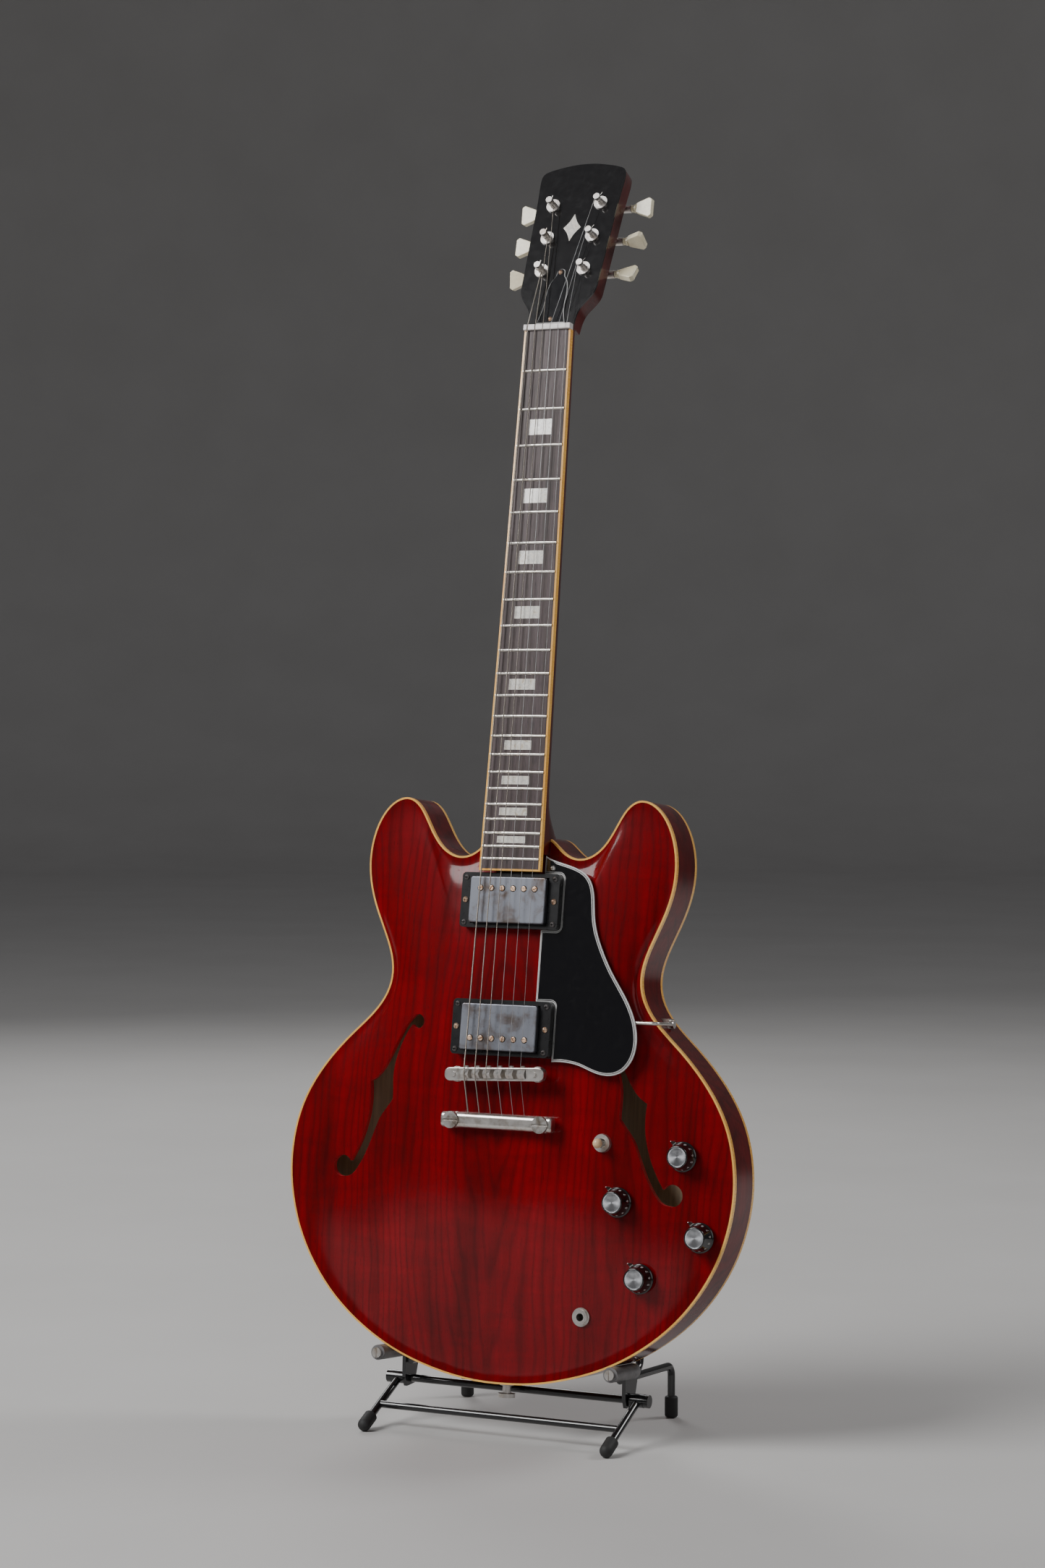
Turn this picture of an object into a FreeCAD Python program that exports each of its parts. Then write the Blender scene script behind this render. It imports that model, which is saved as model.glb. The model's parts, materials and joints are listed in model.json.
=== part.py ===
"""Semi-hollow electric guitar standing on a low folding rod stand.

All sizes are millimetres. The guitar is drawn flat in its own frame (x across, y up the
neck, z out of the top, origin on the rim plane under the bridge) and is then leaned back
onto the stand. The stand is drawn in the room frame (X right, Y back, Z up).
"""
import FreeCAD, Part
import math
import os

V = FreeCAD.Vector

# ---- driving dimensions: set-up ----
SCALE = 625.5            # nut to saddle, sets every fret
NUT_Y = 627.0
LEAN = 6.0               # body leans back on the stand, degrees
NECK_ANGLE = 3.2         # neck set back from the rim plane, degrees
HEAD_ANGLE = 17.0        # headstock tilted back from the fretboard, degrees
BOARD_Z = 30.0           # fretboard plane carried on to the bridge line
GUITAR_Z = 300.0         # height of the bridge line above the floor
SHIFT_Y = -50.0          # centres the whole object over the origin

# ---- body ----
HALF_OUTLINE = (         # from the neck joint round the horn, waist and lower bout
    (0.0, 196.0), (27.0, 195.0), (38.5, 185.5), (47.5, 180.2), (56.5, 179.0), (66.0, 181.8),
    (75.5, 189.3), (84.0, 201.5), (91.0, 214.0), (98.5, 223.5), (107.0, 227.8), (116.5, 226.5),
    (126.0, 220.0), (134.5, 208.0), (140.5, 191.0), (142.5, 172.0), (140.5, 154.0),
    (135.5, 137.0), (128.0, 119.5), (120.0, 101.0), (116.0, 84.0), (117.5, 69.0),
    (124.5, 54.5), (137.5, 39.5), (152.5, 25.5), (170.0, 7.0), (185.5, -14.0),
    (197.5, -38.5), (203.8, -65.0), (205.0, -90.0), (201.5, -116.0), (193.0, -143.0),
    (179.0, -169.0), (158.5, -194.5), (131.0, -217.5), (97.0, -236.5), (58.0, -249.5),
    (25.0, -255.4), (0.0, -256.5))
RIM_DEPTH = 42.0
PLATE = 5.0
RIM_WALL = 5.0
BINDING_W = 1.5
BINDING_H = 4.0
TOP_RISE = 13.0
BACK_RISE = 11.0
EDGE_FLAT = 0.955        # share of the outline at which the arch starts to rise
DOME_SIZES = (0.90, 0.78, 0.66, 0.54, 0.42, 0.30, 0.18, 0.06)
DOME_OVAL = (165.0, 225.0, -15.0)
BLOCK_HALF_W = 50.0
GLUE = 0.35              # joint left open under a curved face
HEEL_BUTTON_Y = 172.0

# ---- neck and headstock ----
NUT_W = 43.0
NUT_T = 5.1
BOARD_END_W = 56.4
BOARD_END_Y = 167.0
BOARD_T = 6.0
BOARD_RADIUS = 305.0
BOARD_BIND = 1.5
FRETS = 22
INLAY_FRETS = (3, 5, 7, 9, 12, 15, 17, 19, 21)
HEAD_T = 14.5
HEAD_FACE_T = 1.5
HEAD_HALF = (            # half outline along the headstock, from the nut to the top
    (21.6, 0.0), (21.9, 6.0), (24.5, 18.5), (30.0, 26.5), (34.6, 34.5), (35.8, 45.0),
    (36.6, 70.0), (38.0, 110.0), (39.4, 138.0), (40.0, 150.0), (38.4, 156.6), (33.0, 159.8),
    (22.0, 162.6), (10.0, 164.6), (0.0, 165.0))
COVER_HALF = (           # half outline of the truss rod cover
    (13.6, 3.2), (12.2, 8.0), (10.6, 15.0), (9.9, 24.0), (9.8, 33.0), (8.8, 41.0),
    (6.2, 47.5), (4.2, 51.0), (3.9, 54.2), (2.4, 56.8), (0.0, 57.6))
COVER_PINS = (7.0, 53.4)
TUNERS = ((19.8, 57.5), (21.2, 90.5), (22.5, 123.5))   # across, along the headstock
BUTTON_TURNS = (24.0, 12.0, 18.0, -22.0, 78.0, 14.0)    # as the strings were last tuned
POST_WAIST = 2.3
POST_STRING_Z = 7.0      # height on the post at which a string winds on
STRING_D = (1.17, 0.91, 0.66, 0.43, 0.33, 0.25)        # bass to treble
NUT_SPAN = 36.0
BRIDGE_SPAN = 51.5
STRING_BEND = 1.2

# ---- hardware on the top ----
BRIDGE_TILT = ((-37.0, -3.0), (37.0, 0.0))
TAIL_Y = -41.0
TAIL_STUDS = 41.0
NECK_PICKUP_Y = 142.5
BRIDGE_PICKUP_Y = 37.0
RING = (90.0, 46.0)
COVER = (70.0, 38.5)
POLE_SPAN = 50.0
KNOBS = ((161.0, -60.0), (107.0, -100.0), (178.0, -124.0), (127.5, -160.5))
KNOB_H = 15.0
TOGGLE = (91.0, -53.0)
JACK = (76.3, -195.3)
JACK_BORE = 3.2
FHOLE_RUNS = (           # bass side, from the upper lobe out, down, back and up again
    ((-88.3, 39.6), (-95.7, 31.5), (-102.0, 20.3), (-108.5, 7.6), (-114.5, -3.4), (-128.0, -16.2)),
    ((-128.0, -16.2), (-127.0, -27.0), (-127.4, -39.0), (-129.8, -51.5), (-133.8, -64.0),
     (-139.0, -75.0), (-144.5, -84.5)),
    ((-149.5, -97.7), (-142.0, -94.9), (-136.2, -87.8), (-131.2, -79.5), (-126.4, -69.0),
     (-122.0, -58.0), (-116.9, -46.4), (-111.8, -39.3), (-104.8, -30.2)),
    ((-104.8, -30.2), (-105.0, -20.5), (-105.4, -11.0), (-104.4, -1.5), (-101.4, 9.4),
     (-96.6, 20.5), (-91.6, 29.3), (-87.6, 34.1)))
FHOLE_LOBES = ((-83.5, 35.9, 6.0), (-152.2, -89.0, 9.0))
FHOLE_SKEW = 3.0         # bass hole this much higher and treble hole this much lower
GUARD_CURVE = (          # free edge, from the neck round the waist to the bridge side
    (27.5, 181.0), (41.3, 175.8), (57.4, 170.9), (67.0, 164.8), (72.2, 155.6), (74.6, 142.0),
    (76.3, 128.0), (84.2, 105.6), (95.8, 84.8), (110.5, 62.9), (119.0, 43.0), (120.5, 30.0),
    (116.8, 15.0), (108.0, 5.6), (96.0, 2.6), (84.0, 4.6), (70.0, 9.6), (58.0, 11.6),
    (45.4, 11.4))
GUARD_LEFT = 27.5
GUARD_PIN = (35.2, 170.6)
GUARD_Z = -13.2          # underside, in the neck frame
GUARD_T = 2.4
BRACKET_Y = 46.0

# ---- stand, room frame, y counted from the bridge line ----
ROD_R = 3.25
SLEEVE_R = 6.3
PEG_X = 107.0
PEG_FRONT = 9.5          # peg reaches this far in front of the body's top edge
PEG_BACK = -52.0
HINGE = (12.0, 34.0)     # cross tube: back, up
LEG_X = 111.0
FOOT_FRONT_Y = -50.0
REAR_Y = 112.0
REAR_Z = 44.0
REST_BODY_Y = -66.0      # where the padded bar meets the back
REST_HALF = 84.0
FOOT_R = 5.6
RUN = 0.05               # running clearance on the radius
REST_GAP = 0.3           # guitar to sleeves


def box(x0, x1, y0, y1, z0, z1):
    return Part.makeBox(x1 - x0, y1 - y0, z1 - z0, V(x0, y0, z0))


def cyl(radius, start, end):
    start, end = V(*start), V(*end)
    return Part.makeCylinder(radius, (end - start).Length, start, end - start)


def ball(radius, centre):
    return Part.makeSphere(radius, V(*centre))


def fuse(shapes):
    shapes = list(shapes)
    if len(shapes) == 1:
        return shapes[0]
    return shapes[0].multiFuse(shapes[1:])


def group(shapes):
    return Part.makeCompound(list(shapes))


def cut(shape, tools):
    for tool in tools:
        shape = shape.cut(tool)
    return shape


def closed_spline(points, z=0.0):
    curve = Part.BSplineCurve()
    curve.interpolate(Points=[V(p[0], p[1], z) for p in points], PeriodicFlag=True)
    return Part.Wire([curve.toShape()])


def slab(wire, z0, z1):
    face = Part.Face(wire)
    face.translate(V(0, 0, z0 - face.BoundBox.ZMin))
    return face.extrude(V(0, 0, z1 - z0))


def polygon(points, z0, z1):
    corners = [V(p[0], p[1], z0) for p in points]
    face = Part.Face(Part.makePolygon(corners + [corners[0]]))
    return face.extrude(V(0, 0, z1 - z0))


def mirrored(half):
    """Close a half outline that starts and ends on the centre line, and start it at its end."""
    other = [(-x, y) for x, y in reversed(half) if x > 0.01]
    return list(half[-1:]) + other + list(half[:-1])


def inset(points, gap):
    """Move a closed outline inwards along its own normals."""
    moved = []
    count = len(points)
    for i in range(count):
        before, after = points[i - 1], points[(i + 1) % count]
        dx, dy = after[0] - before[0], after[1] - before[1]
        length = math.hypot(dx, dy)
        moved.append((points[i][0] + gap * dy / length, points[i][1] - gap * dx / length))
    return moved


def bent_rod(points, radius, bend):
    """Round rod along straight runs joined by bends."""
    pts = [V(*p) for p in points]
    edges = []
    at = pts[0]
    for i in range(1, len(pts) - 1):
        back = (pts[i - 1] - pts[i]).normalize()
        ahead = (pts[i + 1] - pts[i]).normalize()
        half = math.acos(max(-1.0, min(1.0, back.dot(ahead)))) / 2
        reach = bend / math.tan(half)
        middle = pts[i] + (back + ahead).normalize() * (bend / math.sin(half) - bend)
        start, end = pts[i] + back * reach, pts[i] + ahead * reach
        edges.append(Part.makeLine(at, start))
        edges.append(Part.Arc(start, middle, end).toShape())
        at = end
    edges.append(Part.makeLine(at, pts[-1]))
    wire = Part.Wire(edges)
    ring = Part.Wire([Part.makeCircle(radius, pts[0], pts[1] - pts[0])])
    return wire.makePipeShell([ring], True, False)


# ---- frames ----
def placed(shape, shift, turn):
    copy = shape.copy()
    copy.Placement = FreeCAD.Placement(shift, turn).multiply(copy.Placement)
    return copy


def tilted(shape, shift, degrees):
    return placed(shape, shift, FreeCAD.Rotation(V(1, 0, 0), degrees))


def from_neck(shape):
    """Neck frame: y along the fretboard, z = 0 on the fretboard's crown."""
    return tilted(shape, V(0, 0, BOARD_Z), -NECK_ANGLE)


def from_head(shape):
    """Head frame: y along the headstock from the nut, z = 0 on its face."""
    return from_neck(tilted(shape, V(0, NUT_Y + 3.2, -4.6), -HEAD_ANGLE))


def to_room(shape):
    """Lean the guitar back and lift it onto the stand."""
    return tilted(shape, V(0, SHIFT_Y, GUITAR_Z), 90.0 - LEAN)


def stand_part(shape):
    return placed(shape, V(0, SHIFT_Y, 0), FreeCAD.Rotation())


def in_room(point):
    """Room position, before the final shift, of a point of the guitar."""
    x, y, z = point
    lean = math.radians(LEAN)
    return (x, y * math.sin(lean) - z * math.cos(lean),
            GUITAR_Z + y * math.cos(lean) + z * math.sin(lean))


# ---- body ----
OUTLINE = mirrored(HALF_OUTLINE)
EDGE = inset(OUTLINE, BINDING_W)
INNER = inset(OUTLINE, BINDING_W + RIM_WALL)


def dome_ring(size, roundness):
    """One contour of the arch: the outline shrunk and eased towards an oval."""
    wide, tall, centre = DOME_OVAL
    ring = []
    for x, y in EDGE:
        angle = math.atan2(y / tall, x / wide)
        oval = (wide * math.cos(angle), centre + tall * math.sin(angle))
        ring.append((size * (x * (1 - roundness) + oval[0] * roundness),
                     size * (y * (1 - roundness) + oval[1] * roundness)))
    return ring


def dome(rise):
    wires = [closed_spline(EDGE, 0.0), closed_spline(dome_ring(EDGE_FLAT, 0.05), 0.02)]
    for size in DOME_SIZES:
        roundness = min(1.0, 2.4 * (1.0 - size))
        share = (1.0 - size ** 3) ** 1.5
        wires.append(closed_spline(dome_ring(size, roundness), rise * share))
    return Part.makeLoft(wires, True, False)


def plate(arch):
    """Arched sheet of even thickness with a square edge, its edge's upper face at z = 0."""
    low = arch.copy()
    low.translate(V(0, 0, -PLATE))
    skins = [f for f in arch.Faces if f.BoundBox.ZMax > 0.01]
    skins += [f for f in low.Faces if f.BoundBox.ZMax > 0.01 - PLATE]
    wall = [f for f in slab(closed_spline(EDGE), -PLATE, 0).Faces if f.BoundBox.ZLength > 1]
    shell = Part.Shell(skins + wall)
    shell.sewShape()
    solid = Part.Solid(shell)
    if solid.Volume < 0:
        solid.reverse()
    return solid


def height_on(arch, x, y):
    line = Part.makeLine(V(x, y, -1), V(x, y, 60))
    return line.common(arch).BoundBox.ZMax


def under_back(shape):
    """Turn a top-side shape over onto the back edge."""
    return shape.mirror(V(0, 0, 0), V(0, 0, 1)).translated(V(0, 0, -RIM_DEPTH))


TOP_ARCH = dome(TOP_RISE)
BACK_ARCH = dome(BACK_RISE)
TOP_MASS = [TOP_ARCH, slab(closed_spline(EDGE), -20, 0)]


def top_z(x, y):
    return height_on(TOP_ARCH, x, y)


def neck_y(y):
    """Distance along the fretboard for a distance along the body."""
    return y / math.cos(math.radians(NECK_ANGLE))


def board_half(y):
    share = (NUT_Y - y) / (NUT_Y - BOARD_END_Y)
    return (NUT_W + (BOARD_END_W - NUT_W) * share) / 2


def fhole():
    edges, corners = [], []
    for run in FHOLE_RUNS:
        curve = Part.BSplineCurve()
        curve.interpolate([V(x, y, 0) for x, y in run])
        edges.append(curve.toShape())
        corners.append((V(*run[0]), V(*run[-1])))
    edges.insert(2, Part.makeLine(corners[1][1], corners[2][0]))
    edges.append(Part.makeLine(corners[3][1], corners[0][0]))
    tools = [slab(Part.Wire(edges), -12, 25)]
    for x, y, r in FHOLE_LOBES:
        tools.append(cyl(r, (x, y, -12), (x, y, 25)))
    return fuse(tools)


def mirror_x(shape):
    return shape.mirror(V(0, 0, 0), V(1, 0, 0))


def both_sides(shape):
    return [shape, mirror_x(shape)]


# ---- neck ----
def neck_section(y, half, depth, square):
    """D-shaped section hanging from the underside of the fretboard."""
    points = []
    steps = 12
    for i in range(steps + 1):
        angle = math.pi * i / steps
        c, s = math.cos(angle), math.sin(angle)
        across = math.copysign(abs(c) ** square, c)
        points.append(V(half * across, y, -BOARD_T - depth * abs(s) ** square))
    curve = Part.BSplineCurve()
    curve.interpolate(points)
    return Part.Wire([curve.toShape(), Part.makeLine(points[-1], points[0])])


def neck_shaft():
    low, high = 236.0, NUT_Y + 3.2
    shaft = Part.makeLoft([neck_section(low, board_half(low), 18.5, 0.85),
                           neck_section(430, board_half(430), 16.5, 0.85),
                           neck_section(high, NUT_W / 2, 14.6, 0.85)], True, True)
    heel = Part.makeLoft([neck_section(low, board_half(low), 18.5, 0.85),
                          neck_section(222, board_half(222), 21.0, 0.82),
                          neck_section(208, board_half(208), 33.0, 0.72),
                          neck_section(196, board_half(196), 46.0, 0.62),
                          neck_section(182, board_half(182), 50.0, 0.58)], True, True)
    tongue = box(-20, 20, BOARD_END_Y, 183, -50, -BOARD_T)
    return fuse([shaft, heel, tongue])


def head_outline(grow=0.0):
    half = [(x + (grow if x > 0.01 else 0.0), y) for x, y in HEAD_HALF]
    right = [V(x, y, 0) for x, y in half]
    left = [V(-p.x, p.y, 0) for p in reversed(right)]
    edges = []
    for run in (right, left):
        curve = Part.BSplineCurve()
        curve.interpolate(run)
        edges.append(curve.toShape())
    edges.append(Part.makeLine(left[-1], right[0]))
    return Part.Wire(edges)


def tuner_spots():
    """Index, side and place of the six tuners, bass side from the nut up first."""
    spots = []
    for side in (-1, 1):
        for x, y in TUNERS:
            spots.append((len(spots) + 1, side, side * x, y))
    return spots


def fret_y(n):
    return NUT_Y - SCALE * (1 - 2 ** (-n / 12.0))


def camber(radius):
    """Everything under the fretboard's crown, at a given radius of its top."""
    return cyl(radius, (0, 150, -BOARD_RADIUS), (0, NUT_Y + 2, -BOARD_RADIUS))


def board_prism(margin, z0, z1):
    start = BOARD_END_Y + margin
    near, far = board_half(start) - margin, NUT_W / 2 - margin
    return polygon(((-near, start), (near, start), (far, NUT_Y), (-far, NUT_Y)), z0, z1)


def inlay(fret):
    low, high = fret_y(fret), fret_y(fret - 1)
    gap = high - low - 2.4
    share = 0.43 + 0.011 * fret
    middle = (low + high) / 2
    half = board_half(middle) * 0.47
    y0, y1 = middle - gap * share / 2, middle + gap * share / 2
    block = polygon(((-half, y0), (half, y0), (half * 0.985, y1), (-half * 0.985, y1)),
                    -3, 1)
    return block.common(camber(BOARD_RADIUS)).cut(camber(BOARD_RADIUS - 0.6))


def fret_wire(n):
    y = fret_y(n)
    half = board_half(y) - BOARD_BIND - 0.1
    crown = Part.makeTorus(BOARD_RADIUS - 0.25, 1.3, V(0, y, -BOARD_RADIUS), V(0, 1, 0))
    return crown.common(box(-half, half, y - 2, y + 2, -4, 4))


def string_path(index):
    """Corner points in the neck frame, from the tailpiece to just short of the post."""
    share = index / 5.0 - 0.5
    radius = STRING_D[index] / 2
    nut_x, saddle_x = share * NUT_SPAN, share * BRIDGE_SPAN
    crown_nut = -nut_x ** 2 / (2 * BOARD_RADIUS) + 1.0 + radius
    crown_saddle = -saddle_x ** 2 / (2 * BOARD_RADIUS) + 5.0 + radius
    saddle_y = saddle_line(saddle_x)
    return [(saddle_x, TAIL_Y + 6.5, -9.5 + radius), (saddle_x, saddle_y, crown_saddle),
            (nut_x, NUT_Y + 0.6, crown_nut), (nut_x, NUT_Y + NUT_T - 0.1, crown_nut - 0.25)]


def saddle_line(x):
    (x0, y0), (x1, y1) = BRIDGE_TILT
    return y0 + (y1 - y0) * (x - x0) / (x1 - x0)


# ---- making the guitar's pieces, each in its own frame until it is stored ----
PARTS = {}


def keep_guitar(name, shape):
    PARTS[name] = to_room(shape)


def make_body():
    top_solid = TOP_ARCH
    heel_screw = cyl(2.05, (0, HEEL_BUTTON_Y, -58), (0, HEEL_BUTTON_Y, -24))
    neck = from_neck(neck_shaft()).cut(heel_screw)
    PARTS["neck_raw"] = neck
    bass = fhole()
    holes = [bass.translated(V(0, FHOLE_SKEW, 0)),
             mirror_x(bass).translated(V(0, -FHOLE_SKEW, 0))]
    cavities = []
    for y in (NECK_PICKUP_Y, BRIDGE_PICKUP_Y):
        cavities.append(box(-36.5, 36.5, y - 20.5, y + 20.5, -12, 30))
        cavities.append(box(-43.5, 43.5, y - 8, y + 8, -12, 30))
    top = cut(plate(top_solid), holes + cavities)
    drills = []
    for x, y in KNOBS:
        drills.append(cyl(4.6, (x, y, -6), (x, y, 20)))
    drills.append(cyl(6.1, (TOGGLE[0], TOGGLE[1], -6), (TOGGLE[0], TOGGLE[1], 20)))
    drills.append(cyl(4.8, (JACK[0], JACK[1], -8), (JACK[0], JACK[1], 20)))
    for x, y in BRIDGE_TILT:
        drills.append(cyl(2.5, (x, y, -14), (x, y, 20)))
    for x in (-TAIL_STUDS, TAIL_STUDS):
        drills.append(cyl(5.5, (x, TAIL_Y, -14), (x, TAIL_Y, 20)))
    top = cut(top, drills + [neck])
    keep_guitar("body_top", top)

    outer, edge = closed_spline(OUTLINE), closed_spline(EDGE)
    inner = closed_spline(INNER)
    hoop = slab(outer, -BINDING_H, 0).cut(slab(edge, -BINDING_H, 0))
    low_hoop = slab(outer, -RIM_DEPTH, -RIM_DEPTH + BINDING_H)
    low_hoop = low_hoop.cut(slab(edge, -RIM_DEPTH, -RIM_DEPTH + BINDING_H))
    keep_guitar("body_binding", group([hoop.cut(neck), low_hoop.cut(neck)]))

    rim = slab(outer, -RIM_DEPTH + BINDING_H, -BINDING_H).cut(slab(inner, -RIM_DEPTH, 0))
    plate_zone = PLATE + GLUE
    rim = cut(rim, [slab(edge, -plate_zone, 1),
                    slab(edge, -RIM_DEPTH - 1, plate_zone - RIM_DEPTH)])
    tail_screw = cyl(2.05, (0, -258, -RIM_DEPTH / 2), (0, -236, -RIM_DEPTH / 2))
    rim = cut(rim, [neck, tail_screw, under_back(plate(BACK_ARCH))])
    keep_guitar("body_rim", rim)

    back_solid = under_back(BACK_ARCH)
    back = under_back(plate(BACK_ARCH))
    keep_guitar("body_back", cut(back, [neck, heel_screw]))

    room = slab(inner, -60, 30)
    drop = PLATE + GLUE
    hollow = [top_solid.translated(V(0, 0, -drop)), slab(edge, drop - RIM_DEPTH, -drop),
              back_solid.translated(V(0, 0, drop))]
    beam = box(-BLOCK_HALF_W, BLOCK_HALF_W, -256, 192, -60, 30).common(room)
    block = fuse([beam.common(piece) for piece in hollow])
    block = cut(block, cavities + drills + [neck, tail_screw, heel_screw])
    keep_guitar("centre_block", block)


def make_neck():
    neck = PARTS.pop("neck_raw")
    head = from_head(slab(head_outline(), -HEAD_T, -HEAD_FACE_T))
    bushings = []
    holes = []
    for _, _, x, y in tuner_spots():
        holes.append(from_head(cyl(5.0, (x, y, -HEAD_T - 1), (x, y, 1))))
        sleeve = cyl(5.0, (x, y, -HEAD_T), (x, y, 0)).fuse(cyl(6.2, (x, y, 0), (x, y, 1.3)))
        bushings.append(from_head(sleeve.cut(cyl(3.0 + RUN, (x, y, -20), (x, y, 5)))))
    rod_pocket = from_neck(box(-3.1, 3.1, 175, NUT_Y + 3.3, -15, -BOARD_T + 0.01))
    for y in COVER_PINS:
        holes.append(from_head(cyl(1.12, (0, y, -6), (0, y, 1))))
    route = from_head(box(-4.5, 4.5, -4, 24, -11, -HEAD_FACE_T))
    window = from_head(box(-4.5, 4.5, 11, 24, -HEAD_FACE_T - 1, 3))
    nut_seat = from_neck(box(-30, 30, NUT_Y, NUT_Y + NUT_T, -5.3, 4))
    neck = cut(neck.fuse(head), [rod_pocket, route, nut_seat] + holes)
    keep_guitar("neck", neck)
    rod = from_neck(box(-3.0, 3.0, 176, NUT_Y + 1, -14.9, -BOARD_T - 0.1))
    tip = from_neck(cyl(2.5, (0, NUT_Y + 1, -11.5), (0, NUT_Y + 7, -11.5)))
    keep_guitar("truss_rod", rod.fuse(tip))
    face = from_head(slab(head_outline(), -HEAD_FACE_T, 0))
    face = cut(face, [window, nut_seat] + holes)
    keep_guitar("headstock_face", face)
    keep_guitar("tuner_bushings", group(bushings))

    bell = [V(x, y, 0) for x, y in COVER_HALF]
    bell += [V(-p.x, p.y, 0) for p in reversed(bell[:-1])]
    curve = Part.BSplineCurve()
    curve.interpolate(bell)
    cover = slab(Part.Wire([curve.toShape(), Part.makeLine(bell[-1], bell[0])]), 0, 2.2)
    pins = [screw(0, y, 2.4, 2.0, 6.0) for y in COVER_PINS]
    keep_guitar("truss_rod_cover", from_head(group([cut(cover, pins)] + pins)))

    board = board_prism(BOARD_BIND, -BOARD_T, 1).common(camber(BOARD_RADIUS))
    blocks = [inlay(n) for n in INLAY_FRETS]
    keep_guitar("fretboard", from_neck(cut(board, blocks)))
    keep_guitar("fretboard_inlays", from_neck(group(blocks)))
    strips = board_prism(0, -BOARD_T, 1).cut(board_prism(BOARD_BIND, -BOARD_T - 1, 2))
    keep_guitar("fretboard_binding", from_neck(strips.common(camber(BOARD_RADIUS))))
    wires = [fret_wire(n).cut(camber(BOARD_RADIUS)) for n in range(1, FRETS + 1)]
    keep_guitar("frets", from_neck(group(wires)))
    nut = box(-NUT_W / 2, NUT_W / 2, NUT_Y, NUT_Y + NUT_T, -5.3, 2.0)
    nut = nut.makeFillet(0.8, [e for e in nut.Edges if e.BoundBox.ZMin > 1.9
                               and e.BoundBox.XLength > 9])
    slots = []
    for i in range(6):
        _, _, (x, _, z), (_, _, low) = string_path(i)
        radius = STRING_D[i] / 2 + 0.06
        slots.append(cyl(radius, (x, NUT_Y - 5, z), (x, NUT_Y + 9, z)))
        slots.append(cyl(radius, (x, NUT_Y, z), (x, NUT_Y + NUT_T + 0.2, low - 0.03)))
        slots.append(box(x - radius, x + radius, NUT_Y - 1, NUT_Y + 9, z, 4))
    keep_guitar("nut", from_neck(cut(nut, slots)))


def make_tuners():
    housings = []
    for index, side, x, y in tuner_spots():
        gear = box(x - 7.5, x + 7.5, y - 5.5, y + 9.5, -HEAD_T - 10.5, -HEAD_T)
        gear = gear.makeFillet(1.2, [e for e in gear.Edges if e.BoundBox.ZMax < -HEAD_T - 1])
        ears = box(x - 3.5, x + 3.5, y - 12, y + 15.5, -HEAD_T - 1.2, -HEAD_T)
        shaft_y, shaft_z = y + 5.5, -HEAD_T - 5.5
        neck_tube = cyl(3.4, (x + side * 7, shaft_y, shaft_z), (x + side * 20, shaft_y, shaft_z))
        bore = cyl(1.8 + RUN, (x - side * 4, shaft_y, shaft_z), (x + side * 40, shaft_y, shaft_z))
        well = cyl(3.0 + RUN, (x, y, -HEAD_T - 8.5), (x, y, 0))
        housings.append(from_head(cut(fuse([gear, ears, neck_tube]), [well, bore])))

        thick = STRING_D[index - 1 if side < 0 else 6 - (index - 3)] / 2
        post = fuse([cyl(3.0, (x, y, -HEAD_T - 8.4), (x, y, 4.4)),
                     cyl(POST_WAIST, (x, y, 4.3), (x, y, 8.7)),
                     cyl(2.9, (x, y, 8.6), (x, y, 10.8))])
        post = cut(post, [cyl(1.9, (x - side * 9, shaft_y, shaft_z),
                              (x + side * 9, shaft_y, shaft_z))])
        coils = []
        for turn in range(3):
            at = V(x, y, POST_STRING_Z - 2.1 * thick * (turn - 0.5))
            coils.append(Part.makeTorus(POST_WAIST + thick * 0.7, thick, at, V(0, 0, 1)))
        end = cyl(thick, (x + 0.5, y, 8.0), (x + 3.4 + side, y + 4.4, 9.4))
        keep_guitar("tuner_post_%d" % index, from_head(fuse([post, end] + coils)))

        shaft = cyl(1.8, (x - side * 3.5, shaft_y, shaft_z), (x + side * 25, shaft_y, shaft_z))
        rings = [cyl(r, (x + side * a, shaft_y, shaft_z), (x + side * b, shaft_y, shaft_z))
                 for r, a, b in ((3.1, 20.3, 22.1), (2.3, 22.0, 23.0), (3.7, 22.8, 24.8))]
        outline = [(x + side * a, shaft_y + b) for a, b in
                   ((24.7, 4.0), (27.5, 5.4), (36.6, 8.8), (39.3, 6.9),
                    (39.3, -6.9), (36.6, -8.8), (27.5, -5.4), (24.7, -4.0))]
        blade = polygon(outline, shaft_z - 2.7, shaft_z + 2.7)
        blade = blade.makeFillet(0.7, blade.Edges)
        button = fuse([shaft, blade] + rings)
        button.rotate(V(x, shaft_y, shaft_z), V(1, 0, 0), BUTTON_TURNS[index - 1])
        keep_guitar("tuner_button_%d" % index, from_head(button))
    keep_guitar("tuner_housings", group(housings))


def make_strings():
    strings = []
    spots = tuner_spots()
    order = [spots[0], spots[1], spots[2], spots[5], spots[4], spots[3]]
    for i in range(6):
        radius = STRING_D[i] / 2
        path = [from_neck_point(p) for p in string_path(i)]
        _, side, x, y = order[i]
        reach = POST_WAIST + 2 * radius + 0.4
        path.append(from_head_point((x - side * reach, y - 0.5, POST_STRING_Z)))
        strings.append(bent_rod([tuple(p) for p in path], radius, STRING_BEND))
    keep_guitar("strings", group(strings))


def from_neck_point(point):
    return from_neck(Part.Vertex(V(*point))).Point


def from_head_point(point):
    return from_head(Part.Vertex(V(*point))).Point


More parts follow.
